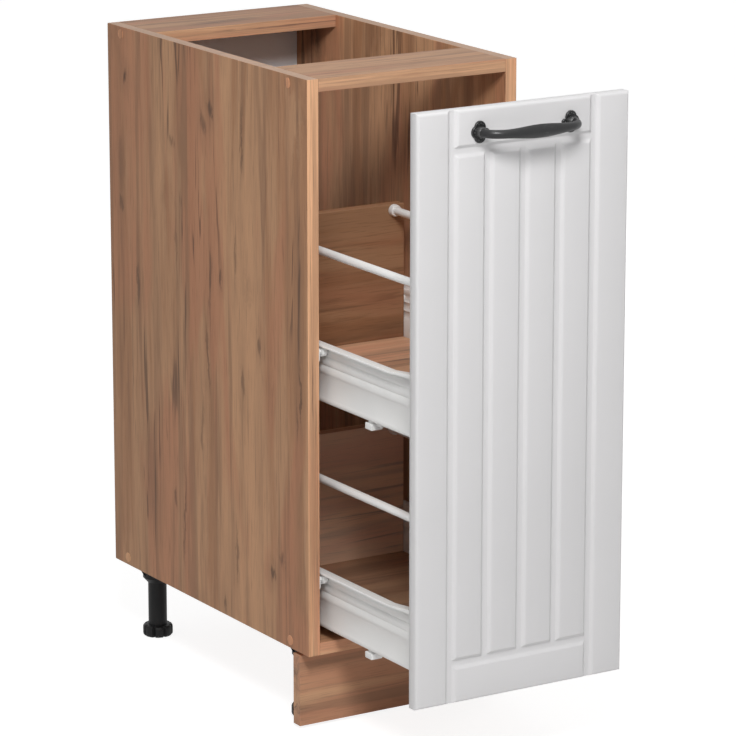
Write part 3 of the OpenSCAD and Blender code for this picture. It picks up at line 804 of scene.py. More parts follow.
def folded(line: Points, stations: Sequence[float], thickness: float, bends: Points, radius: float) -> BMesh:
    """Makes a folded sheet whose section runs along a line.

    Args:
        line: Its section's points on one face of the sheet.
        stations: The heights of its copies along Z.
        thickness: The sheet's thickness, to the left of the line.
        bends: The points of the line that are rounded.
        radius: The rounding's radius.

    Returns:
        The form.
    """
    form = drawn_out(line, stations)
    (x0, y0), (x1, y1) = line[:2]
    middle = Vector((x0 + x1, y0 + y1, stations[0] + stations[1])) / 2
    first = min(form.faces, key=lambda face: (face.calc_center_median() - middle).length)
    if first.normal.dot(Vector((y1 - y0, x0 - x1, 0))) < 0:
        bmesh.ops.reverse_faces(form, faces=form.faces)
    creases = [
        e
        for e in form.edges
        if any(all(abs(v.co.x - x) + abs(v.co.y - y) < 1e-4 for v in e.verts) for x, y in bends)
        and len(e.link_faces) == 2
    ]
    round_off(form, creases, radius, 3)
    bmesh.ops.solidify(form, geom=form.faces[:], thickness=thickness)
    bmesh.ops.recalc_face_normals(form, faces=form.faces)
    return form


def circle(steps: int) -> BMesh:
    """Makes a flat ring of edges with radius 1 round the origin.

    Args:
        steps: The number of edges.

    Returns:
        The ring.
    """
    form = bmesh.new()
    bmesh.ops.create_circle(form, cap_ends=False, radius=1.0, segments=steps)
    return form


def lofted(form: BMesh, profile: Points) -> BMesh:
    """Carries a flat ring of radius 1 up along Z, widens it to each radius of a profile and closes both ends.

    Args:
        form: A form that holds the ring, which is used up.
        profile: The radius and height of each copy of the ring.

    Returns:
        The form.
    """
    stations = [moved(0, 0, z) @ Matrix.Diagonal((r, r, 1, 1)) for r, z in profile]
    bmesh.ops.transform(form, matrix=stations[0], verts=form.verts)
    front = list(form.edges)
    bmesh.ops.edgeloop_fill(form, edges=front)
    for before, after in zip(stations, stations[1:]):
        points, front = grown(form, front)
        bmesh.ops.transform(form, matrix=after @ before.inverted(), verts=points)
    bmesh.ops.edgeloop_fill(form, edges=front)
    bmesh.ops.recalc_face_normals(form, faces=form.faces)
    return form


def cross_head(radius: float, height: float) -> BMesh:
    """Makes a domed screw head that stands on z = 0 and has a cross recess.

    Args:
        radius: The head's radius.
        height: The head's height.

    Returns:
        The form.
    """
    form = bmesh.new()
    half = radius * 0.56
    bmesh.ops.create_grid(form, x_segments=3, y_segments=3, size=half)
    rim = [e for e in form.edges if e.is_boundary]
    arms = [f for f in form.faces if min(map(abs, f.calc_center_median()[:2])) < half * 0.1]
    sunk = bmesh.ops.extrude_face_region(form, geom=arms)["geom"]
    bmesh.ops.translate(form, vec=(0, 0, -height * 0.7), verts=[g for g in sunk if isinstance(g, BMVert)])
    bmesh.ops.delete(form, geom=arms, context="FACES_ONLY")
    ring = bmesh.ops.create_circle(form, cap_ends=False, radius=radius * 0.8, segments=12)["verts"]
    bmesh.ops.rotate(form, cent=(0, 0, 0), matrix=Matrix.Rotation(math.radians(15), 3, "Z"), verts=ring)
    bmesh.ops.translate(form, vec=(0, 0, -height * 0.12), verts=ring)
    outer = list({e for v in ring for e in v.link_edges})
    bmesh.ops.bridge_loops(form, edges=rim + outer)
    for scale, drop in ((1.25, 0.38), (1.0, 0.5)):
        points, outer = grown(form, outer)
        bmesh.ops.scale(form, vec=(scale, scale, 1), verts=points)
        bmesh.ops.translate(form, vec=(0, 0, -height * drop), verts=points)
    bmesh.ops.edgeloop_fill(form, edges=outer)
    bmesh.ops.translate(form, vec=(0, 0, height), verts=form.verts)
    bmesh.ops.recalc_face_normals(form, faces=form.faces)
    return form


class Piece:
    """One piece of the object, put together from closed forms in millimetres."""

    def __init__(self) -> None:
        """Starts an empty piece."""
        self.mesh = bmesh.new()

    def add(self, form: BMesh, place: Matrix = Matrix()) -> "Piece":
        """Adds a form to the piece at a place, frees the form and gives the piece itself.

        Args:
            form: The form.
            place: The place.

        Returns:
            The piece itself.
        """
        bmesh.ops.transform(form, matrix=place, verts=form.verts)
        if place.determinant() < 0:
            bmesh.ops.reverse_faces(form, faces=form.faces)
        mesh = bpy.data.meshes.new("form")
        form.to_mesh(mesh)
        form.free()
        self.mesh.from_mesh(mesh)
        bpy.data.meshes.remove(mesh)
        return self


@dataclass
class WoodScrew:
    """A wood screw whose head's seat is at the origin and whose tip points along +Z."""

    length: float
    radius: float = 1.5
    head_radius: float = 3.2
    head_height: float = 1.2
    neck: float = 1.5
    pitch: float = 1.4
    tip: float = 2.5

    def add_to(self, piece: Piece, places: Iterable[Matrix]) -> None:
        """Adds a screw at each place to a piece.

        Args:
            piece: The piece.
            places: The screws' places.
        """
        for place in places:
            piece.add(cross_head(self.head_radius, self.head_height), place @ facing(Axis.Z, -1))
            piece.add(self._shank(), place)

    def _shank(self) -> BMesh:
        """Makes the threaded shank with its point.

        Returns:
            The form.
        """
        profile = [(0.0, -0.2), (self.radius * 0.8, -0.2), (self.radius * 0.8, self.neck)]
        height = self.neck
        while height < self.length - self.tip:
            profile += [(self.radius, height + self.pitch / 2), (self.radius * 0.72, height + self.pitch)]
            height += self.pitch
        return turned([*profile, (0.0, self.length - 0.2)], 10)


# Sub-assemblies


class Workshop:
    """Makes each material once and turns pieces into objects."""

    def __init__(self, stock: Mapping[str, Sequence[Finish]]) -> None:
        """Takes the finishes, listed by the record's material slot.

        Args:
            stock: The finishes by slot.
        """
        self.finishes = {finish.name: finish for listed in stock.values() for finish in listed}
        self.slots = {finish.name: slot for slot, listed in stock.items() for finish in listed}
        self.made: dict[str, Material] = {}

    def material(self, name: str) -> Material:
        """Gives the material with that name, and makes it the first time.

        Args:
            name: The finish's name.

        Returns:
            The material.
        """
        if name not in self.made:
            self.made[name] = self.finishes[name].material()
        return self.made[name]

    def deliver(
        self,
        piece: Piece,
        name: str,
        body: str,
        node: str,
        *looks: str,
        side: Side = Side.LEFT,
        sharp: float = 30,
    ) -> None:
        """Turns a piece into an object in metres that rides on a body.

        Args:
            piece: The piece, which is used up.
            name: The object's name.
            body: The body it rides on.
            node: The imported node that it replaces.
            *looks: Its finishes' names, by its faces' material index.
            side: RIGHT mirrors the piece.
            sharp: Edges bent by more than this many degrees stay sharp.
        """
        form = piece.mesh
        bmesh.ops.transform(form, matrix=mirrored(side), verts=form.verts)
        if side is Side.RIGHT:
            bmesh.ops.reverse_faces(form, faces=form.faces)
        bmesh.ops.scale(form, vec=(METRES_PER_MM,) * 3, verts=form.verts)
        mesh = bpy.data.meshes.new(name)
        form.to_mesh(mesh)
        form.free()
        mesh.shade_smooth()
        mesh.set_sharp_from_angle(angle=math.radians(sharp))
        for look in looks:
            mesh.materials.append(self.material(look))
        made = bpy.data.objects.new(name, mesh)
        bpy.context.scene.collection.objects.link(made)
        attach(made, body)
        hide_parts(node)
        LOG.info("%s rides on %s, %d faces", name, body, len(mesh.polygons))


@dataclass
class Boards:
    """Everything that is a plain board: a softened block with its own grain and edging."""

    shop: Workshop
    softening: float = 0.6
    squareness: float = 0.6

    def build(self) -> None:
        """Builds the carcass boards, the plinth, the drawers' boards and the back."""
        for word in ("left", "right"):
            self._board(f"{word}_side", f"side_panel_{word}", f"oak_{word}", edge="oak_edge_up", top="edging")
        self._board("bottom_board", "bottom_panel", "oak_bottom", edge="oak_edge_across")
        for word in ("front", "rear"):
            self._board(f"{word}_top_board", f"top_rail_{word}", "oak_top", edge="oak_edge_across")
        self._board("plinth_board", "plinth", "oak_plinth", top="oak_edge_across", body="plinth")
        for level in Level:
            word = level.word
            self._board(f"{word}_drawer_floor", f"{word}_bottom", f"oak_floor_{word}", body=PULLOUT)
            name, look = f"{word}_drawer_back", f"oak_back_{word}"
            self._board(name, f"{word}_back", look, top="oak_edge_back", body=PULLOUT)
        self._board("hardboard", "hardboard_back", "hardboard")

    def _board(
        self, name: str, node: str, face: str, edge: str = "", top: str = "", body: str = CARCASS
    ) -> None:
        """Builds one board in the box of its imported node.

        Args:
            name: The piece's name.
            node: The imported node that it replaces.
            face: The finish of its faces.
            edge: The finish of its front and rear edge, if that differs.
            top: The finish of its upper edge, if that differs.
            body: The body it rides on.
        """
        low, high = (corner / METRES_PER_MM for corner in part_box(node))
        piece = Piece().add(block(low, high, self.softening))
        looks = [face]
        for extra, axis in ((edge, Axis.Y), (top, Axis.Z)):
            if extra:
                looks.append(extra)
                for surface in piece.mesh.faces:
                    towards = surface.normal[axis.value]
                    if (abs(towards) if axis is Axis.Y else towards) > self.squareness:
                        surface.material_index = len(looks) - 1
        self.shop.deliver(piece, name, body, node, *looks, sharp=12)


@dataclass
class CarcassFittings:
    """Screw covers and nails on the outside of the carcass."""

    shop: Workshop
    cover_radius: float = 6.5
    cover_rise: float = 0.6
    screw_rows: tuple[float, float] = (10.0, 710.0)
    screw_depths: tuple[float, float] = (45.0, 465.0)
    outer_x: float = 150.0
    nail_radius: float = 1.5
    nail_rows: int = 5
    nail_column_x: float = 142.0
    nail_row_x: float = 268.0 / 6
    nail_row_inset: float = 8.0
    nail_shank: Points = ((0, -0.6), (0.7, -0.6), (0.7, -17), (0, -18))
    carcass_height: float = 720.0
    back_y: float = 391.5

    def build(self) -> None:
        """Builds the covers and the nails."""
        covers, nails = Piece(), Piece()
        r, rise = self.cover_radius, self.cover_rise
        dome = [(0, 0), (r, 0), (r, rise * 0.3), (r - 0.35, rise * 0.62), (r - 1.1, rise * 0.85)]
        dome += [(r - 2.6, rise * 0.97), (0, rise)]
        for side, height, depth in product(Side, self.screw_rows, self.screw_depths):
            place = moved(side.value * self.outer_x, CARCASS_FRONT_Y + depth, CARCASS_UNDERSIDE_Z + height)
            covers.add(turned(dome, 40), place @ facing(Axis.X, side.value))
        self.shop.deliver(covers, "screw_covers", CARCASS, "cover_caps", "cover_film")

        r = self.nail_radius
        head = [(0, 0), (r * 0.9, -0.02), (r, -0.2), (0.7, -0.6), (0, -0.6)]
        rows = [self.carcass_height * i / (self.nail_rows + 1) for i in range(1, self.nail_rows + 1)]
        spots = [(x * self.nail_column_x, z) for x in (-1, 1) for z in rows]
        ends = (self.nail_row_inset, self.carcass_height - self.nail_row_inset)
        spots += [(x * self.nail_row_x, z) for x in (-1, 1) for z in ends]
        for x, z in spots:
            place = moved(x, self.back_y, CARCASS_UNDERSIDE_Z + z) @ facing(Axis.Y)
            nails.add(turned(head, 16), place)
            nails.add(turned(self.nail_shank, 10), place)
        self.shop.deliver(nails, "back_nail_heads", CARCASS, "back_nails", "zinc")


@dataclass
class Legs:
    """Four adjustable legs: plate and collar, tube, and notched foot."""

    shop: Workshop
    side_x: float = 112.0
    depths: tuple[float, float] = (68.0, 455.0)
    plate_radius: float = 29.0
    plate_thickness: float = 3.0
    ribs: int = 8
    rib_half: float = 0.8
    collar_radius: float = 19.0
    collar_height: float = 20.0
    cone_height: float = 6.0
    tube_radius: float = 12.35
    tube_low: float = 14.0
    tube_bore: float = 50.0
    foot_radius: float = 19.8
    foot_height: float = 15.0
    lobes: int = 8
    lobe_depth: float = 3.0
    lobe_width: float = 0.42
    stud_radius: float = 5.0
    stud_top: float = 46.0
    stud_root: float = 8.0
    stud_pitch: float = 1.5
    screw_spot: float = 17.0
    screw_length: float = 15.0

    def build(self) -> None:
        """Builds each leg and all their screws."""
        screws = Piece()
        seat_z = CARCASS_UNDERSIDE_Z - self.plate_thickness
        for (end, depth), side in product(zip(("front", "rear"), self.depths), Side):
            corner = f"{end}_{side.word}"
            axis = moved(side.value * self.side_x, CARCASS_FRONT_Y + depth, 0)
            for made, name, body, node in (
                (self._socket(axis), "leg_plate", CARCASS, f"leg_socket_{corner}"),
                (self._tube(axis), "leg_pipe", CARCASS, f"leg_tube_{corner}"),
                (self._foot(axis), "leg_foot", f"foot_{corner}", f"foot_{corner}"),
            ):
                self.shop.deliver(made, f"{name}_{corner}", body, node, "black_plastic")
            spots = product((-self.screw_spot, self.screw_spot), repeat=2)
            WoodScrew(self.screw_length).add_to(screws, [axis @ moved(x, y, seat_z) for x, y in spots])
        self.shop.deliver(screws, "leg_plate_screws", CARCASS, "leg_screws", "zinc")

    def _socket(self, axis: Matrix) -> Piece:
        """Makes a ribbed plate with its collar, below the bottom board.

        Args:
            axis: The leg's middle line.

        Returns:
            The piece.
        """
        top, plate, collar = CARCASS_UNDERSIDE_Z, self.plate_radius, self.collar_radius
        seat, low, bore = top - self.plate_thickness, top - self.collar_height, self.tube_radius + 0.05
        tip = low - self.cone_height
        profile = [(0, top), (plate - 0.5, top), (plate, top - 0.6), (plate, seat + 0.6), (plate - 0.6, seat)]
        profile += [(collar + 1, seat), (collar, seat - 1), (collar, low + 0.5), (collar - 0.5, low)]
        profile += [(self.tube_radius + 1.2, tip + 0.4), (self.tube_radius + 0.9, tip), (bore, tip)]
        piece = Piece().add(turned([*profile, (bore, seat), (0, seat)], 48), axis)
        rib = [(0, 0), (plate - collar - 1.5, 0), (0, -self.collar_height + 5)]
        for i in range(self.ribs):
            place = axis @ spun(math.tau * i / self.ribs) @ moved(collar - 0.4, 0, seat + 0.2)
            piece.add(drawn_out(rib, (-self.rib_half, self.rib_half), closed=True), place @ DEPTH_SECTION)
        return piece

    def _tube(self, axis: Matrix) -> Piece:
        """Makes the tube with its softened lower rim.

        Args:
            axis: The leg's middle line.

        Returns:
            The piece.
        """
        top, low, r = CARCASS_UNDERSIDE_Z - self.plate_thickness, self.tube_low, self.tube_radius
        bore, roof = self.stud_radius + 0.08, low + self.tube_bore
        profile = [(0, top), (r, top), (r, low + 0.7), (r - 0.7, low), (bore, low), (bore, roof), (0, roof)]
        return Piece().add(turned(profile, 48), axis)

    def _foot(self, axis: Matrix) -> Piece:
        """Makes the foot with its lobes, and the stud inside the tube.

        Args:
            axis: The leg's middle line.

        Returns:
            The piece.
        """
        outline = circle(96)
        for point in outline.verts:
            wave = abs(math.sin(self.lobes * math.atan2(point.co.y, point.co.x) / 2))
            dip = self.lobe_depth * (1 - min(1.0, wave / self.lobe_width) ** 2.0) / self.foot_radius
            point.co *= 1 - dip
        r, top, lip = self.foot_radius, self.foot_height, self.tube_radius + 0.8
        rings = [(r - 2.6, 0.0), (r - 1.4, 0.5), (r - 0.3, 2.0), (r, 3.4)]
        rings += [(r, top - 3.4), (r - 0.5, top - 1.6), (r - 1.6, top - 0.4), (r - 2.8, top)]
        piece = Piece().add(lofted(outline, rings), axis)
        collar = [(lip, top - 0.5), (lip + 1.4, top), (lip + 1.4, top - 0.5)]
        piece.add(turned(collar, 48, ring=True), axis)
        height = top - self.stud_root
        thread = [(0, height)]
        while height < self.stud_top - self.stud_pitch:
            thread += [(self.stud_radius, height + 0.5), (self.stud_radius - 0.55, height + 1.25)]
            height += self.stud_pitch
        thread += [(self.stud_radius - 1.0, self.stud_top), (0, self.stud_top)]
        return piece.add(turned(thread, 24), axis)


@dataclass
class PlinthFittings:
    """Forks behind the plinth that slide on the front legs, with their screws."""

    shop: Workshop
    leg_x: float = 112.0
    back_y: float = CARCASS_FRONT_Y + 38.0
    leg_y: float = CARCASS_FRONT_Y + 68.0
    height_z: float = 50.0
    jaw_radius: float = 12.65
    arm: float = 2.8
    tail: float = 5.0
    fork_height: float = 12.0
    web: float = 14.0
    arc_steps: int = 14
    plate: Triple = (40.0, 3.0, 30.0)
    plate_corner: float = 4.0
    screw_x: float = 15.0
    screw_length: float = 13.0

    def build(self) -> None:
        """Builds both forks and the screws."""
        forks, screws = Piece(), Piece()
        for side in Side:
            middle = moved(side.value * self.leg_x, 0, self.height_z)
            forks.add(self._plate(), middle)
            forks.add(self._fork(), middle)
            spots = [moved(x * self.screw_x, self.back_y + self.plate[1], 0) for x in (-1, 1)]
            places = [middle @ spot @ facing(Axis.Y, -1) for spot in spots]
            WoodScrew(self.screw_length).add_to(screws, places)
        self.shop.deliver(forks, "plinth_forks", "plinth", "plinth_clips", "black_plastic")
        self.shop.deliver(screws, "plinth_fork_screws", "plinth", "plinth_screws", "zinc")

    def _plate(self) -> BMesh:
        """Makes the plate that lies on the plinth's back.

        Returns:
            The form.
        """
        width, thickness, height = self.plate
        low = (-width / 2, self.back_y, -height / 2)
        form = block(low, (width / 2, self.back_y + thickness, height / 2), 0)
        corners = [e for e in form.edges if abs(e.verts[0].co.y - e.verts[1].co.y) > 1]
        round_off(form, corners, self.plate_corner, 4)
        return form

    def _fork(self) -> BMesh:
        """Makes the fork as one flat outline, from the plate round the tube to both tips.

        Returns:
            The form.
        """
        y, tip, steps = self.leg_y, self.leg_y + self.tail, self.arc_steps
        outer, inner, half_web = self.jaw_radius + self.arm, self.jaw_radius, self.web / 2
        start = math.asin(half_web / outer)
        outside = [start + (math.pi / 2 - start) * i / steps for i in range(steps + 1)]
        inside = [math.pi * i / (2 * steps) for i in range(2 * steps + 1)]
        arc = [(-outer * math.sin(a), y - outer * math.cos(a)) for a in outside]
        outline = [(-half_web, self.back_y + 1), *arc, (-outer, tip - 1), (-outer + 1, tip)]
        outline += [(-inner - 0.6, tip), (-inner, tip - 0.6)]
        outline += [(-inner * math.cos(a), y - inner * math.sin(a)) for a in inside]
        outline += [(inner, tip - 0.6), (inner + 0.6, tip), (outer - 1, tip), (outer, tip - 1)]
        outline += [*[(-px, py) for px, py in reversed(arc)], (half_web, self.back_y + 1)]
        return drawn_out(outline, (-self.fork_height / 2, self.fork_height / 2), closed=True)


@dataclass
class RunnerSet:
    """Cabinet runners with their front rollers, and the rear rollers on the drawers."""

    shop: Workshop
    length: float = 440.0
    front: float = 22.0
    low: float = 54.5
    top: float = 73.0
    depth: float = 11.0
    sheet: float = 1.2
    bend: float = 1.6
    nose: float = 0.5
    nose_overlap: float = 3.0
    nose_corner: float = 4.0
    roller_y: float = 6.0
    roller_z: float = 67.5
    roller_radius: float = 7.0
    roller_start: float = 4.6
    roller_width: float = 6.8
    rear_radius: float = 7.75
    rear_z: float = 63.75
    rear_start: float = 4.3
    rear_width: float = 8.2
    rear_y: float = 438.0
    axle_radius: float = 2.5
    axle_head: float = 4.0
    dish: float = 0.8
    screw_inset: float = 40.0
    screw_length: float = 13.0

    def build(self) -> None:
        """Builds the runners, their screws and all rollers."""
        screws = Piece()
        rows = (self.screw_inset, self.length / 2, self.length - self.screw_inset)
        for level in Level:
            front, rear = Piece(), Piece()
            for side in Side:
                node = f"runner_{level.word}_{side.word}"
                channel = self._runner(level)
                self.shop.deliver(channel, f"{node}_channel", CARCASS, node, "powder_white", side=side)
            for side in Side:
                wall = mirrored(side) @ moved(-INNER_WALL_X, 0, level.value)
                spots = [moved(self.sheet, CARCASS_FRONT_Y + self.front + y, self.rear_z) for y in rows]
                places = [wall @ spot @ facing(Axis.X, -1) for spot in spots]
                WoodScrew(self.screw_length).add_to(screws, places)
                spot = moved(self.roller_start, CARCASS_FRONT_Y + self.roller_y, self.roller_z)
                front.add(self._roller(self.roller_radius, self.roller_width), wall @ spot @ facing(Axis.X))
                spot = moved(self.rear_start, PANEL_BACK_Y + self.rear_y, self.rear_z)
                rear.add(self._roller(self.rear_radius, self.rear_width), wall @ spot @ facing(Axis.X))
            word = level.word
            node = f"front_rollers_{word}"
            self.shop.deliver(front, f"front_wheels_{word}", node, node, "white_plastic")
            node = f"{word}_rear_rollers"
            self.shop.deliver(rear, f"rear_wheels_{word}", node, node, "white_plastic")
        self.shop.deliver(screws, "runner_wall_screws", CARCASS, "runner_screws", "zinc")

    def _roller(self, radius: float, width: float) -> BMesh:
        """Makes a roller along +Z from its inner face, with a soft tyre, a dished web and a hub.

        Args:
            radius: The roller's radius.
            width: The roller's width.

        Returns:
            The form.
        """
        bore, hub, dish = self.axle_radius + 0.1, self.axle_head + 0.3, self.dish
        half = [(bore, 0.1), (hub, 0.1), (hub, dish), (radius - 1.5, dish), (radius - 1.3, 0.0)]
        half += [(radius - 0.6, 0.0), (radius - 0.15, 0.2), (radius, 0.7)]
        return turned([*half, *[(r, width - h) for r, h in reversed(half)]], 40, ring=True)

    def _runner(self, level: Level) -> Piece:
        """Makes a left-hand channel with the nose plate and axle of its front roller.

        Args:
            level: The drawer that the runner carries.

        Returns:
            The piece.
        """
        wall = moved(-INNER_WALL_X, CARCASS_FRONT_Y, level.value)
        line = [(self.depth, self.low), (0, self.low), (0, self.top), (self.depth, self.top)]
        channel = folded(line, (self.front, self.front + self.length), self.sheet, line[1:3], self.bend)
        piece = Piece().add(channel, wall @ DEPTH_SECTION)
        plate = block((0, self.nose, self.low), (self.sheet, self.front + self.nose_overlap, self.top), 0)
        tips = [e for e in plate.edges if all(v.co.y < self.nose + 0.1 for v in e.verts)]
        corners = [e for e in tips if abs(e.verts[0].co.x - e.verts[1].co.x) > 0.5]
        round_off(plate, corners, self.nose_corner, 4)
        piece.add(plate, wall)
        r, head, sheet = self.axle_radius, self.axle_head, self.sheet
        reach = self.roller_start + self.roller_width + 0.3
        axle = [(0, sheet / 2), (head, sheet / 2), (head, sheet + 0.9), (r, sheet + 1.2), (r, reach)]
        axle += [(head - 0.4, reach), (head, reach + 0.3), (head - 0.5, reach + 0.8), (0, reach + 0.8)]
        return piece.add(turned(axle, 24), wall @ moved(0, self.roller_y, self.roller_z) @ facing(Axis.X))


@dataclass
class FrontPanel:
    """White front panel: a plate with soft edges, milled grooves and pads behind it."""

    shop: Workshop
    width: float = 296.0
    height: float = 716.0
    thickness: float = 16.0
    edge_radius: float = 4.0
    edge_steps: int = 6
    border: float = 49.0
    strips: int = 4
    groove_half: float = 8.4
    floor_half: float = 2.6
    depth: float = 3.8
    groove_steps: int = 7
    chamfer: float = 0.8
    pad_radius: float = 4.0
    pad_height: float = 1.7
    pad_x: float = 142.0
    pad_inset: float = 30.0

    def build(self) -> None:
        """Builds the panel and its pads."""
        piece = Piece().add(self._panel(), moved(0, PANEL_BACK_Y, CARCASS_UNDERSIDE_Z))
        self.shop.deliver(piece, "front_board", PULLOUT, "front_panel", "white_film", sharp=50)
        pads = Piece()
        r, h = self.pad_radius, self.pad_height
        profile = [(0, 0), (r, 0), (r, h * 0.35), (r - 0.4, h * 0.72), (r - 1.3, h * 0.94)]
        profile += [(r - 2.4, h), (0, h)]
        for side, z in product(Side, (self.pad_inset, self.height - self.pad_inset)):
            place = moved(side.value * self.pad_x, PANEL_BACK_Y, CARCASS_UNDERSIDE_Z + z)
            pads.add(turned(profile, 24), place @ facing(Axis.Y))
        self.shop.deliver(pads, "door_pads", PULLOUT, "bumper_pads", "white_plastic")

    def _sunk(self, distance: float) -> float:
        """Gives a groove's depth at a distance from its middle line."""
        along = (abs(distance) - self.floor_half) / (self.groove_half - self.floor_half)
        return self.depth * (1 + math.cos(math.pi * min(max(along, 0), 1))) / 2

    def _edge_drop(self, distance: float) -> float:
        """Gives how far the face falls back at a distance from the panel's edge."""
        inside = max(self.edge_radius - distance, 0)
        return self.edge_radius - math.sqrt(max(self.edge_radius**2 - inside**2, 0))

    def _fall(self, x: float, z: float) -> float:
        """Gives how far the face lies behind its plane at a place on the panel.

        Args:
            x: The place's distance from the panel's middle.
            z: The place's height on the panel.

        Returns:
            The fall.
        """
        outer = self.width / 2 - self.border
        pitch = 2 * outer / self.strips
        low, high = self.border, self.height - self.border
        falls = [self._edge_drop(self.width / 2 - abs(x)), self._edge_drop(min(z, self.height - z))]
        falls.append(self._sunk(abs(x) - outer))
        if abs(x) <= outer:
            falls += [self._sunk(z - low), self._sunk(z - high)]
        if low <= z <= high:
            falls += [self._sunk(x - (i * pitch - outer)) for i in range(1, self.strips)]
        return max(falls)

    def _cuts(self) -> tuple[list[float], list[float]]:
        """Gives the lines that the milling needs, across the panel and up it.

        Returns:
            Both lists.
        """
        outer, steps = self.width / 2 - self.border, self.groove_steps
        ends = [self.border, self.height - self.border]
        flank = self.groove_half - self.floor_half
        halves = [self.floor_half + flank * i / steps for i in range(steps + 1)]
        groove = [s * d for d in halves for s in (-1, 1)]
        rounds = range(1, self.edge_steps)
        edge = [self.edge_radius * (1 - math.cos(math.pi / 2 * i / self.edge_steps)) for i in rounds]
        edge.append(self.edge_radius)
        across = [i * 2 * outer / self.strips - outer + d for i in range(self.strips + 1) for d in groove]
        across += [s * (self.width / 2 - d) for d in edge for s in (-1, 1)] + [-outer, outer]
        up = [z + d for z in ends for d in groove] + edge + [self.height - d for d in edge] + ends
        return across, up

    def _panel(self) -> BMesh:
        """Makes the plate by cutting its face along each line of the milling and sinking what lies there.

        Returns:
            The form.
        """
        form = bmesh.new()
        bmesh.ops.create_grid(form, x_segments=1, y_segments=1, size=0.5)
        bmesh.ops.scale(form, vec=(self.width, self.height, 1), verts=form.verts)
        bmesh.ops.translate(form, vec=(0, self.height / 2, 0), verts=form.verts)
        for cuts, normal in zip(self._cuts(), (Vector((1, 0, 0)), Vector((0, 1, 0)))):
            for cut in cuts:
                everything = form.verts[:] + form.edges[:] + form.faces[:]
                bmesh.ops.bisect_plane(
                    form, geom=everything, plane_co=normal * cut, plane_no=normal, dist=1e-4
                )
        for point in form.verts:
            point.co.z = self.thickness - self._fall(point.co.x, point.co.y)
        rim = [e for e in form.edges if e.is_boundary]
        for inset, level in ((0.0, self.chamfer), (self.chamfer, 0.0)):
            points, rim = grown(form, rim)
            for point in points:
                point.co.z = level
                point.co.x = min(max(point.co.x, inset - self.width / 2), self.width / 2 - inset)
                point.co.y = min(max(point.co.y, inset), self.height - inset)
        bmesh.ops.edgeloop_fill(form, edges=rim)
        bmesh.ops.remove_doubles(form, verts=form.verts, dist=1e-4)
        bmesh.ops.recalc_face_normals(form, faces=form.faces)
        bmesh.ops.transform(form, matrix=facing(Axis.Y, -1), verts=form.verts)
        return form


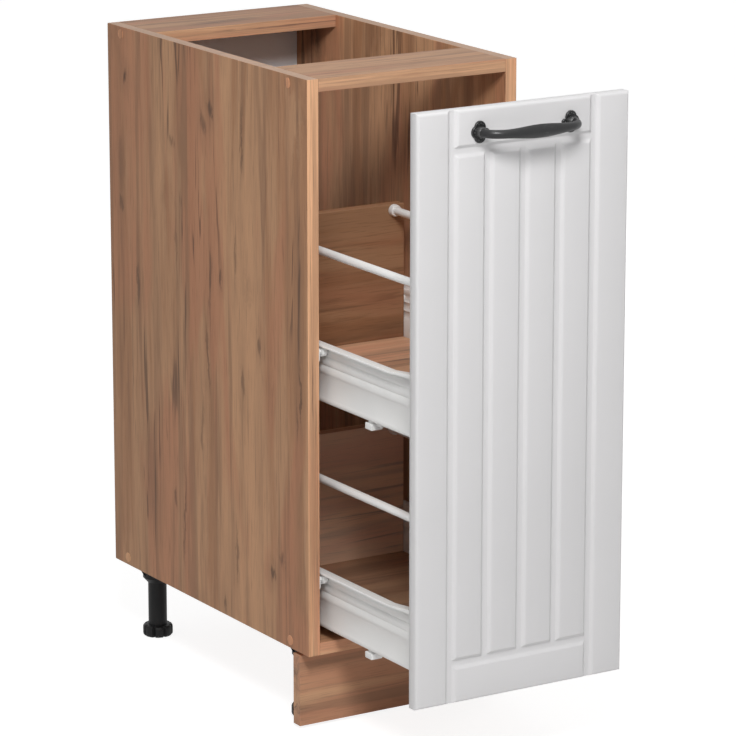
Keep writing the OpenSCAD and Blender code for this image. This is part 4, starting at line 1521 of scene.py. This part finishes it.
@dataclass
class BowHandle:
    """Cast bow on two beaded rosettes, with its screws through the panel."""

    shop: Workshop
    centres: float = 128.0
    height_z: float = CARCASS_UNDERSIDE_Z + 688.0
    face_y: float = PANEL_BACK_Y - 16.0
    reach: float = 32.0
    grip_tall: float = 16.4
    grip_deep: float = 12.0
    post_up: float = 5.2
    post_side: float = 4.8
    post_run: float = 14.0
    ridge: float = 0.3
    collar: Points = ((6.9, 5.0), (6.9, 7.4), (6.1, 8.6), (5.2, 9.6))
    collar_sides: int = 8
    rosette_tall: float = 26.4
    rosette_height: float = 5.0
    boss_radius: float = 6.9
    lobes: tuple[Triple, ...] = ((0.02, 0.21, 0.29), (-0.12, 0.0, 0.3), (0.02, -0.21, 0.29))
    tongue: Triple = (0.36, 0.0, 0.145)
    power: float = 2 / 3
    steps: int = 56
    sides: int = 32
    bead_turn: float = 42.0
    bead_out: float = 4.4
    bead_radius: float = 1.25
    bolt_head: tuple[float, float] = (4.0, 2.4)
    bolt: Points = ((0, -0.1), (2, -0.1), (2, 30), (0, 32))

    def build(self) -> None:
        """Builds the bow, the rosettes and the screws."""
        bow = Piece().add(self._bow(), moved(0, self.face_y, self.height_z))
        rosettes, screws = Piece(), Piece()
        for side in Side:
            x = side.value * self.centres / 2
            outwards = moved(x, self.face_y, self.height_z) @ facing(Axis.Y, -1)
            half_side = math.radians(180 / self.collar_sides)
            bow.add(lofted(circle(self.collar_sides), self.collar), outwards @ spun(half_side))
            self._add_rosette(rosettes, outwards @ spun(math.pi if side is Side.RIGHT else 0.0))
            seat = moved(x, PANEL_BACK_Y, self.height_z) @ facing(Axis.Y, -1)
            screws.add(cross_head(*self.bolt_head), seat @ facing(Axis.Z, -1))
            screws.add(turned(self.bolt, 16), seat)
        self.shop.deliver(bow, "handle_grip", PULLOUT, "handle_bow", "graphite", sharp=40)
        self.shop.deliver(rosettes, "handle_rosette_pair", PULLOUT, "handle_rosettes", "graphite", sharp=40)
        self.shop.deliver(screws, "handle_bolts", PULLOUT, "handle_screws", "zinc")

    def _path(self, turn: float) -> Vector:
        """Gives the middle line's place at an angle, from one post over the grip to the other.

        Args:
            turn: The angle in radians, from 0 at one post to pi at the other.

        Returns:
            The place.
        """
        x = -self.centres / 2 * math.copysign(abs(math.cos(turn)) ** self.power, math.cos(turn))
        out = self.rosette_height + (self.reach - self.rosette_height) * max(math.sin(turn), 0) ** self.power
        return Vector((x, -out, 0))

    def _ring(self, turn: float, step: float) -> list[Vector]:
        """Gives the points of one ring of the bow, round at the posts and ridged along the grip.

        Args:
            turn: The angle in radians, from 0 at one post to pi at the other.
            step: Half the angle between two rings.

        Returns:
            The points.
        """
        run = self._path(min(turn + step, math.pi)) - self._path(max(turn - step, 0))
        if turn in (0, math.pi):
            run = Vector((0, -1 if turn == 0 else 1, 0))
        run.normalize()
        up = Vector((0, 0, 1))
        across = up.cross(run)
        share = min(abs(self._path(turn).x) / (self.centres / 2 - self.post_run), 1)
        swell = math.cos(math.pi / 2 * share) ** 2
        deep = self.post_side + (self.grip_deep / 2 - self.post_side) * swell
        tall = self.post_up + (self.grip_tall / 2 - self.post_up) * swell
        sharp = 1 + self.ridge * swell
        points = []
        for i in range(self.sides):
            c, s = math.cos(math.tau * i / self.sides), math.sin(math.tau * i / self.sides)
            out, rise = (math.copysign(abs(v) ** sharp, v) for v in (c, s))
            points.append(self._path(turn) + across * deep * out + up * tall * rise)
        return points

    def _bow(self) -> BMesh:
        """Makes the bow from rings with a soft ridge along the front.

        Returns:
            The form.
        """
        form = circle(self.sides)
        form.verts.ensure_lookup_table()
        front, corners = list(form.edges), list(form.verts)
        for i in range(self.steps + 1):
            if i:
                points, front = grown(form, front)
                fresh = set(points)
                corners = [
                    next(e.other_vert(v) for e in v.link_edges if e.other_vert(v) in fresh) for v in corners
                ]
            for corner, place in zip(corners, self._ring(math.pi * i / self.steps, math.pi / self.steps / 2)):
                corner.co = place
            if i in (0, self.steps):
                bmesh.ops.edgeloop_fill(form, edges=front)
        bmesh.ops.recalc_face_normals(form, faces=form.faces)
        return form

    def _add_rosette(self, piece: Piece, place: Matrix) -> None:
        """Adds a plate with three beaded lobes, a tongue along the local +X and a boss in the middle.

        Args:
            piece: The piece.
            place: The place.
        """
        h, boss, plate = self.rosette_height, self.boss_radius, self.rosette_height * 0.55
        profile = [(0, 0), (boss + 0.8, 0), (boss + 0.8, plate), (boss + 0.5, h * 0.8), (boss, h), (0, h)]
        piece.add(turned(profile, 48), place)
        for x, y, radius in (*self.lobes, self.tongue):
            lobe = place @ moved(x * self.rosette_tall, y * self.rosette_tall, 0)
            r = radius * self.rosette_tall
            rim = [(0, 0), (r - 0.3, 0), (r, 0.4), (r, h * 0.32), (r - 0.25, h * 0.45), (r - 0.9, plate)]
            piece.add(turned([*rim, (r - 1.6, plate - 0.15), (0, plate)], 48), lobe)
            if radius == self.tongue[2]:
                piece.add(self._bead(), lobe @ moved(0, 0, plate))
                continue
            for turn in (-self.bead_turn, 0, self.bead_turn):
                outwards = spun(math.atan2(y, x) + math.radians(turn))
                piece.add(self._bead(), lobe @ outwards @ moved(self.bead_out, 0, plate))

    def _bead(self) -> BMesh:
        """Makes one bead of the rosette.

        Returns:
            The form.
        """
        form = bmesh.new()
        bmesh.ops.create_uvsphere(form, u_segments=12, v_segments=8, radius=self.bead_radius)
        return form


@dataclass
class Drawer:
    """One drawer: pressed steel sides, railings in sockets, brackets, clips and screws."""

    shop: Workshop
    level: Level
    length: float = 450.0
    side_height: float = 76.0
    sheet: float = 1.2
    inner_face: float = 15.5
    flange_end: float = 3.0
    lip_low: float = 73.8
    foot_end: float = 29.5
    fold: float = 0.9
    rib_low: float = 36.0
    rib_pitch: float = 11.5
    rib_count: int = 3
    rib_steps: int = 8
    rib_depth: float = 1.7
    rib_power: float = 0.75
    hem: float = 8.0
    hem_steps: int = 6
    hem_share: float = 0.5
    ramp_length: float = 75.0
    ramp_rise: float = 9.0
    ramp_low: float = 72.6
    ramp_blend: float = 2.0
    rear_flange: Triple = (27.5, 13.7, 74.0)
    flange_corner: float = 4.0
    rail_x: float = 102.0
    rail_z: float = 181.0
    rail_radius: float = 5.0
    back_y: float = 432.8
    tray_z: float = 13.2
    axle: Points = (
        (0, 3.2), (3.5, 3.2), (4.0, 3.5), (4.0, 4.0), (2.5, 4.0),
        (2.5, 13.4), (4.4, 13.6), (4.4, 14.8), (0, 14.8),
    )
    axle_place: tuple[float, float] = (438.0, 63.75)
    bracket: Points = ((4.0, 0.0), (14.3, 0.0), (14.3, 40.0))
    bracket_rows: tuple[float, float] = (10.0, 38.0)
    rivet: Points = ((0, 12.5), (2.0, 12.5), (2.0, 15.5), (3.5, 15.5), (3.3, 16.0), (2.3, 16.3), (0, 16.3))
    rivet_backs: tuple[float, float] = (14.0, 30.0)
    rivet_z: float = 24.0
    clip: Triple = (14.3, 129.0, -11.0)

    def build(self) -> None:
        """Builds all the drawer's pieces apart from its boards."""
        word, deliver = self.level.word, self.shop.deliver
        for side in Side:
            hand = side.word
            wall, node = self._side(), f"{word}_side_{hand}"
            deliver(wall, f"{word}_wall_{hand}", PULLOUT, node, "powder_white", side=side)
            rail = Piece().add(self._rail(), self._spot(-self.rail_x, 5, self.rail_z) @ facing(Axis.Y))
            deliver(rail, f"{word}_railing_{hand}", PULLOUT, f"{word}_rail_{hand}", "railing", side=side)
        sockets, brackets, clips, screws = Piece(), Piece(), Piece(), Piece()
        for hand in map(mirrored, Side):
            front = self._spot(-self.rail_x, 0, self.rail_z)
            rear = self._spot(-self.rail_x, self.back_y, self.rail_z)
            sockets.add(self._socket(12), hand @ front @ facing(Axis.Y))
            sockets.add(self._socket(8), hand @ rear @ facing(Axis.Y, -1))
            self._add_bracket(brackets, hand)
            self._add_clip(clips, hand)
            self._add_screws(screws, hand)
        deliver(sockets, f"{word}_railing_sockets", PULLOUT, f"{word}_rail_sockets", "white_plastic")
        deliver(brackets, f"{word}_angle_plates", PULLOUT, f"{word}_front_brackets", "zinc")
        deliver(clips, f"{word}_under_clips", PULLOUT, f"{word}_clips", "white_plastic")
        deliver(screws, f"{word}_drawer_screws", PULLOUT, f"{word}_screws", "zinc")

    def _spot(self, x: float, back: float, up: float) -> Matrix:
        """Gives a place from the panel's back face and the drawer's bottom edge."""
        return moved(x, PANEL_BACK_Y + back, self.level.value + up)

    def _wall(self, away: float, back: float, up: float) -> Matrix:
        """Gives a place from the left side panel's inner face."""
        return self._spot(away - INNER_WALL_X, back, up)

    def _bulge(self, z: float, low: float, pitch: float) -> float:
        """Gives how far a pressed rib stands out at a height: a cushion between two narrow valleys."""
        return self.rib_depth * abs(math.sin(math.pi * (z - low) / pitch)) ** self.rib_power

    def _side(self) -> Piece:
        """Makes a left-hand side from its inner face outwards, with the ramp at the front.

        Returns:
            The piece.
        """
        face, ramp, steps = self.inner_face, self.ramp_length, self.rib_count * self.rib_steps
        hem = [self.hem * i / self.hem_steps for i in range(2, self.hem_steps + 1)]
        ribs = [self.rib_low + self.rib_pitch * self.rib_count * i / steps for i in range(steps + 1)]
        line = [(self.foot_end, self.sheet), (face, self.sheet)]
        line += [(face - self._bulge(z, 0, self.hem) * self.hem_share, z) for z in hem]
        line += [(face - self._bulge(z, self.rib_low, self.rib_pitch), z) for z in ribs]
        corners = [(face, self.sheet), (face, self.side_height), (self.flange_end, self.side_height)]
        line += [corners[1], corners[2], (self.flange_end, self.lip_low)]
        form = folded(line, (1, ramp * 0.5, ramp, ramp + 8, self.length), self.sheet, corners, self.fold)
        for point in form.verts:
            share = min(max((point.co.y - self.ramp_low) / self.ramp_blend, 0), 1)
            rise = self.ramp_rise * max(1 - (point.co.z - 1) / (ramp - 1), 0)
            point.co.y += rise * share
        wall = self._wall(0, 0, 0)
        piece = Piece().add(form, wall @ DEPTH_SECTION)
        free_x, low_z, high_z = self.rear_flange
        rear = block((face - 1.2, self.length - self.sheet, low_z), (free_x, self.length, high_z), 0)
        free = [e for e in rear.edges if all(v.co.x > free_x - 0.5 for v in e.verts)]
        corners = [e for e in free if abs(e.verts[0].co.y - e.verts[1].co.y) > 0.5]
        round_off(rear, corners, self.flange_corner, 4)
        piece.add(rear, wall)
        return piece.add(turned(self.axle, 24), self._wall(0, *self.axle_place) @ facing(Axis.X))

    def _rail(self) -> BMesh:
        """Makes a railing along +Z with softened ends."""
        r, length = self.rail_radius, self.back_y - 10
        return turned([(0, 0), (r - 0.5, 0), (r, 0.5), (r, length - 0.5), (r - 0.5, length), (0, length)], 40)

    def _socket(self, length: float) -> BMesh:
        """Makes the cup that one end of a railing sits in, along +Z.

        Args:
            length: The cup's length.

        Returns:
            The form.
        """
        r, bore = self.rail_radius + 2.8, self.rail_radius + 0.08
        profile = [(1.8, 0), (r - 0.3, 0), (r, 0.4), (r, length * 0.5), (r - 0.5, length - 1.0)]
        profile += [(r - 1.4, length), (bore + 0.3, length), (bore, length - 0.4), (bore, 2), (1.8, 2)]
        return turned(profile, 40, ring=True)

    def _add_bracket(self, piece: Piece, hand: Matrix) -> None:
        """Adds one angle between the front panel and a steel side, with its rivets.

        Args:
            piece: The piece.
            hand: The transform to the drawer's side.
        """
        angle = folded(self.bracket, self.bracket_rows, 2.0, self.bracket[1:2], 1.2)
        piece.add(angle, hand @ self._wall(0, 0, 0))
        for back in self.rivet_backs:
            piece.add(turned(self.rivet, 20), hand @ self._wall(0, back, self.rivet_z) @ facing(Axis.X))

    def _add_clip(self, piece: Piece, hand: Matrix) -> None:
        """Adds the moulded clip under a steel side: its block, step, arm and two catches.

        Args:
            piece: The piece.
            hand: The transform to the drawer's side.
        """
        place = hand @ self._wall(*self.clip)
        piece.add(block((0, 0, 0), (16, 15, 8), 0.9, 3), place)
        piece.add(block((3, 3, 5), (15, 12, 11), 0.5), place)
        piece.add(block((8, -9, 5), (16, 3, 8), 0.8, 3), place)
        for y in (4, 11):
            piece.add(block((-0.01, y - 0.6, 1.5), (0.5, y + 0.6, 6.5), 0.2), place)

    def _add_screws(self, piece: Piece, hand: Matrix) -> None:
        """Adds the screws of one half of the drawer.

        Args:
            piece: The piece.
            hand: The transform to the drawer's side.
        """
        up = [self._wall(22.5, y, 0) for y in (60, self.length / 2, self.length - 60)]
        up.append(self._wall(22.3, 136.5, -3))
        WoodScrew(self.tray_z - 2).add_to(piece, [hand @ place for place in up])
        forwards = [self._wall(22.5, self.length, z) for z in (30, 60)]
        forwards += [self._wall(8, 2, z) for z in (16, 32)]
        forwards.append(self._spot(-self.rail_x, 2, self.rail_z))
        places = [place @ facing(Axis.Y, -1) for place in forwards]
        places.append(self._spot(-self.rail_x, self.back_y - 2, self.rail_z) @ facing(Axis.Y))
        WoodScrew(12).add_to(piece, [hand @ place for place in places])


# Studio


@dataclass
class Studio:
    """Pale floor, soft lamps and the camera at the photograph's angle. Lengths are in metres."""

    eye: Triple = (-2.6082, -4.2155, 1.6641)
    yaw: float = 31.791
    pitch: float = 14.046
    focal_pixels: float = 4077.36
    sensor: float = 36.0
    lamps_aim: Triple = (0, 0, 0.45)
    world_light: float = 0.27
    floor_half: float = 12.0
    floor_drop: float = 0.0005
    floor_glow: float = 0.86

    def build(self) -> None:
        """Builds the camera, the lamps, the world and the floor."""
        bpy.context.scene.view_settings.view_transform = "Standard"
        self._camera()
        self._lamp("key_lamp", (-1.05, -1.8, 2.25), 0.7, 46)
        self._lamp("rear_lamp", (2.6, 1.6, 0.8), 1.4, 12)
        self._lamp("top_lamp", (0.0, -0.3, 2.4), 1.2, 5)
        self._world()
        self._floor()

    def _place(self, name: str, data: bpy.types.ID, spot: Triple, look: Vector) -> bpy.types.Object:
        """Adds a camera or lamp to the scene.

        Args:
            name: Its name.
            data: Its data.
            spot: Where it stands.
            look: The direction it looks in.

        Returns:
            Its object.
        """
        made = bpy.data.objects.new(name, data)
        made.location = spot
        made.rotation_euler = look.to_track_quat("-Z", "Y").to_euler()
        bpy.context.scene.collection.objects.link(made)
        return made

    def _camera(self) -> None:
        """Places the camera."""
        data = bpy.data.cameras.new("camera")
        data.sensor_width = self.sensor
        data.lens = self.focal_pixels / PHOTO_WIDTH * self.sensor
        data.clip_end = 100
        yaw, pitch = math.radians(self.yaw), math.radians(self.pitch)
        look = Vector((math.sin(yaw) * math.cos(pitch), math.cos(yaw) * math.cos(pitch), -math.sin(pitch)))
        bpy.context.scene.camera = self._place("camera", data, self.eye, look)

    def _lamp(self, name: str, spot: Triple, size: float, power: float) -> None:
        """Adds a square area lamp that looks at the cabinet.

        Args:
            name: The lamp's name.
            spot: Where it stands.
            size: The length of its sides.
            power: Its power in watts.
        """
        data = bpy.data.lights.new(name, "AREA")
        data.size = size
        data.energy = power
        self._place(name, data, spot, Vector(self.lamps_aim) - Vector(spot))

    def _world(self) -> None:
        """Makes a plain world that looks white where it is seen."""
        graph = Graph(bpy.data.worlds.new("studio"))
        dim, white = (
            graph.node("ShaderNodeBackground", {0: (1, 1, 1, 1), 1: strength}).outputs[0]
            for strength in (self.world_light, 1.0)
        )
        mixed = graph.node("ShaderNodeMixShader", {0: graph.seen(), 1: dim, 2: white})
        graph.node("ShaderNodeOutputWorld", {"Surface": mixed.outputs[0]})
        bpy.context.scene.world = graph.owner

    def _floor(self) -> None:
        """Makes the floor, which looks white to the camera and keeps the cabinet's shadow."""
        graph = Graph(bpy.data.materials.new("floor_paper"))
        grain = graph.noise(graph.places(), 300)
        shades = ((0.82, 0.76), (0.34, 0.32))
        papers = [graph.mix(grain * 0.1, (light,) * 3, (dark,) * 3) for light, dark in shades]
        paper, seen_paper = (
            graph.node("ShaderNodeBsdfPrincipled", {"Base Color": paper, "Roughness": 0.9}).outputs[0]
            for paper in papers
        )
        light = graph.node("ShaderNodeEmission", {"Color": (1, 1, 1, 1), "Strength": self.floor_glow})
        glowing = graph.node("ShaderNodeAddShader", {0: seen_paper, 1: light.outputs[0]})
        mixed = graph.node("ShaderNodeMixShader", {0: graph.seen(), 1: paper, 2: glowing.outputs[0]})
        graph.node("ShaderNodeOutputMaterial", {"Surface": mixed.outputs[0]})
        form = bmesh.new()
        bmesh.ops.create_grid(form, x_segments=1, y_segments=1, size=self.floor_half)
        bmesh.ops.translate(form, vec=(0, 0, -self.floor_drop), verts=form.verts)
        mesh = bpy.data.meshes.new("floor")
        form.to_mesh(mesh)
        form.free()
        mesh.materials.append(graph.owner)
        floor = bpy.data.objects.new("floor", mesh)
        bpy.context.scene.collection.objects.link(floor)


# Knots and cracks that the photograph shows: place, height, radius across, radius along, strength
LEFT_SIDE_MARKS = (
    (342, 755, 10, 14, 0.85), (122, 751, 9, 15, 0.8), (141, 727, 9, 16, 0.6), (223, 693, 9, 12, 0.5),
    (356, 590, 10, 13, 0.55), (356, 640, 14, 60, 0.35), (97, 535, 5, 14, 0.8), (2, 470, 6, 16, 0.6),
    (226, 227, 5, 18, 0.55), (-54, 208, 9, 14, 0.6), (-30, 184, 10, 13, 0.8), (97, 116, 5, 18, 0.6),
    (48, 720, 3, 80, 0.55), (60, 575, 4, 60, 0.45), (311, 488, 5, 42, 0.6), (122, 515, 3.5, 80, 0.4),
    (132, 430, 4, 70, 0.6), (44, 414, 7, 32, 0.55), (290, 245, 22, 110, 0.32), (199, 200, 4, 95, 0.6),
    (61, 190, 4, 60, 0.5), (-97, 425, 2.5, 62, 0.7), (-88, 395, 2, 40, 0.45), (150, 330, 4, 90, 0.4),
    (210, 560, 4, 70, 0.35),
)  # fmt: skip
FRONT_EDGE_MARKS = (
    (-143, 440, 1.3, 62, 0.75), (-139, 395, 1.0, 38, 0.6), (-146, 590, 0.9, 45, 0.4),
    (-141, 700, 1.0, 30, 0.35), (-138, 210, 1.1, 40, 0.5), (143, 250, 1.2, 55, 0.5),
    (139, 520, 1.0, 40, 0.45),
)  # fmt: skip


def finishes() -> dict[str, list[Finish]]:
    """Gives every finish of the cabinet, listed by the record's material slot.

    Returns:
        The finishes by slot.
    """
    side_marks, edge_marks = (tuple(Mark(*m) for m in marks) for marks in (LEFT_SIDE_MARKS, FRONT_EDGE_MARKS))
    band = {"knots": 0.0, "fineness": 2.2}
    front_edge = {**band, "marks": edge_marks, "marks_axis": Axis.X, "marks_wander": 0.005}
    return {
        "laminate": [
            # The carcass's oak copies share one print; their tone values lift oak_right and oak_plinth for
            # the shade they lie in and lower oak_top for the top lamp's light: painted light and shade
            OakLaminate("oak_left", Axis.Z, (0.31, 0.12, 0.44), tone=1.02, knots=0.35, marks=side_marks),
            OakLaminate("oak_right", Axis.Z, (0.9, 1.7, 0.35), tone=1.2),
            OakLaminate("oak_bottom", Axis.X, (2.1, 0.4, 1.2)),
            OakLaminate("oak_top", Axis.X, (0.2, 0.62, 2.4), tone=0.85, knots=0.7, fineness=1.4),
            OakLaminate("oak_plinth", Axis.X, (1.4, 2.2, 0.15), tone=1.15, fade=0.12, fineness=1.5),
            OakLaminate("oak_edge_up", Axis.Z, (1.2, 4.4, 3.1), tone=1.65, fade=0.06, **front_edge),
            OakLaminate("oak_edge_across", Axis.X, (2.6, 5.1, 1.1), tone=1.4, fade=0.1, **band),
            OakLaminate("oak_edge_back", Axis.X, (3.6, 6.1, 2.1), tone=1.05, knots=0.0),
            OakLaminate("cover_film", Axis.Z, (6.2, 1.3, 2.2), tone=1.35, knots=0.0),
            PaleEdging("edging"),
        ],
        "drawer_laminate": [
            # The drawer boards share one print; their tone values set each floor and back lighter or darker
            # for the light it gets inside the carcass: painted light and shade
            OakLaminate("oak_floor_upper", Axis.X, (3.3, 0.8, 0.3), tone=1.7, knots=0.5, fade=0.2),
            OakLaminate("oak_floor_lower", Axis.X, (0.7, 3.8, 1.3), tone=1.05, knots=0.4, fade=0.2),
            OakLaminate("oak_back_upper", Axis.X, (4.3, 1.8, 2.3), tone=0.65, knots=0.9),
            OakLaminate("oak_back_lower", Axis.X, (5.2, 2.7, 0.9), tone=1.85, knots=0.6, fade=0.45),
        ],
        "white_film": [MatteFilm("white_film")],
        # The railing copy of the powder coat is lighter than the drawer sides' to make the railings look more
        # brightly lit: painted light
        "white_steel": [PowderCoat("powder_white"), PowderCoat("railing", (0.9, 0.9, 0.89))],
        "white_plastic": [MouldedPlastic("white_plastic", (0.88, 0.88, 0.87), 0.38)],
        "black_plastic": [MouldedPlastic("black_plastic", (0.01, 0.01, 0.0105), 0.5, 0.00008, 0.2)],
        "graphite_metal": [GraphiteCasting("graphite")],
        "zinc_plated_steel": [ZincPlating("zinc")],
        "hardboard": [PaintedHardboard("hardboard", 0.39)],
    }


def main() -> None:
    logging.basicConfig(level=logging.INFO, format="%(message)s")
    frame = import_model()
    shop = Workshop(finishes())
    Studio().build()
    for assembly in (Boards, CarcassFittings, Legs, PlinthFittings, RunnerSet, FrontPanel, BowHandle):
        assembly(shop).build()
    for level in Level:
        Drawer(shop, level).build()
    for node in frame["nodes"].values():
        if node.name == "confirmat_screws":
            node.data.materials.clear()
            node.data.materials.append(shop.material("zinc"))


if __name__ == "__main__":
    main()
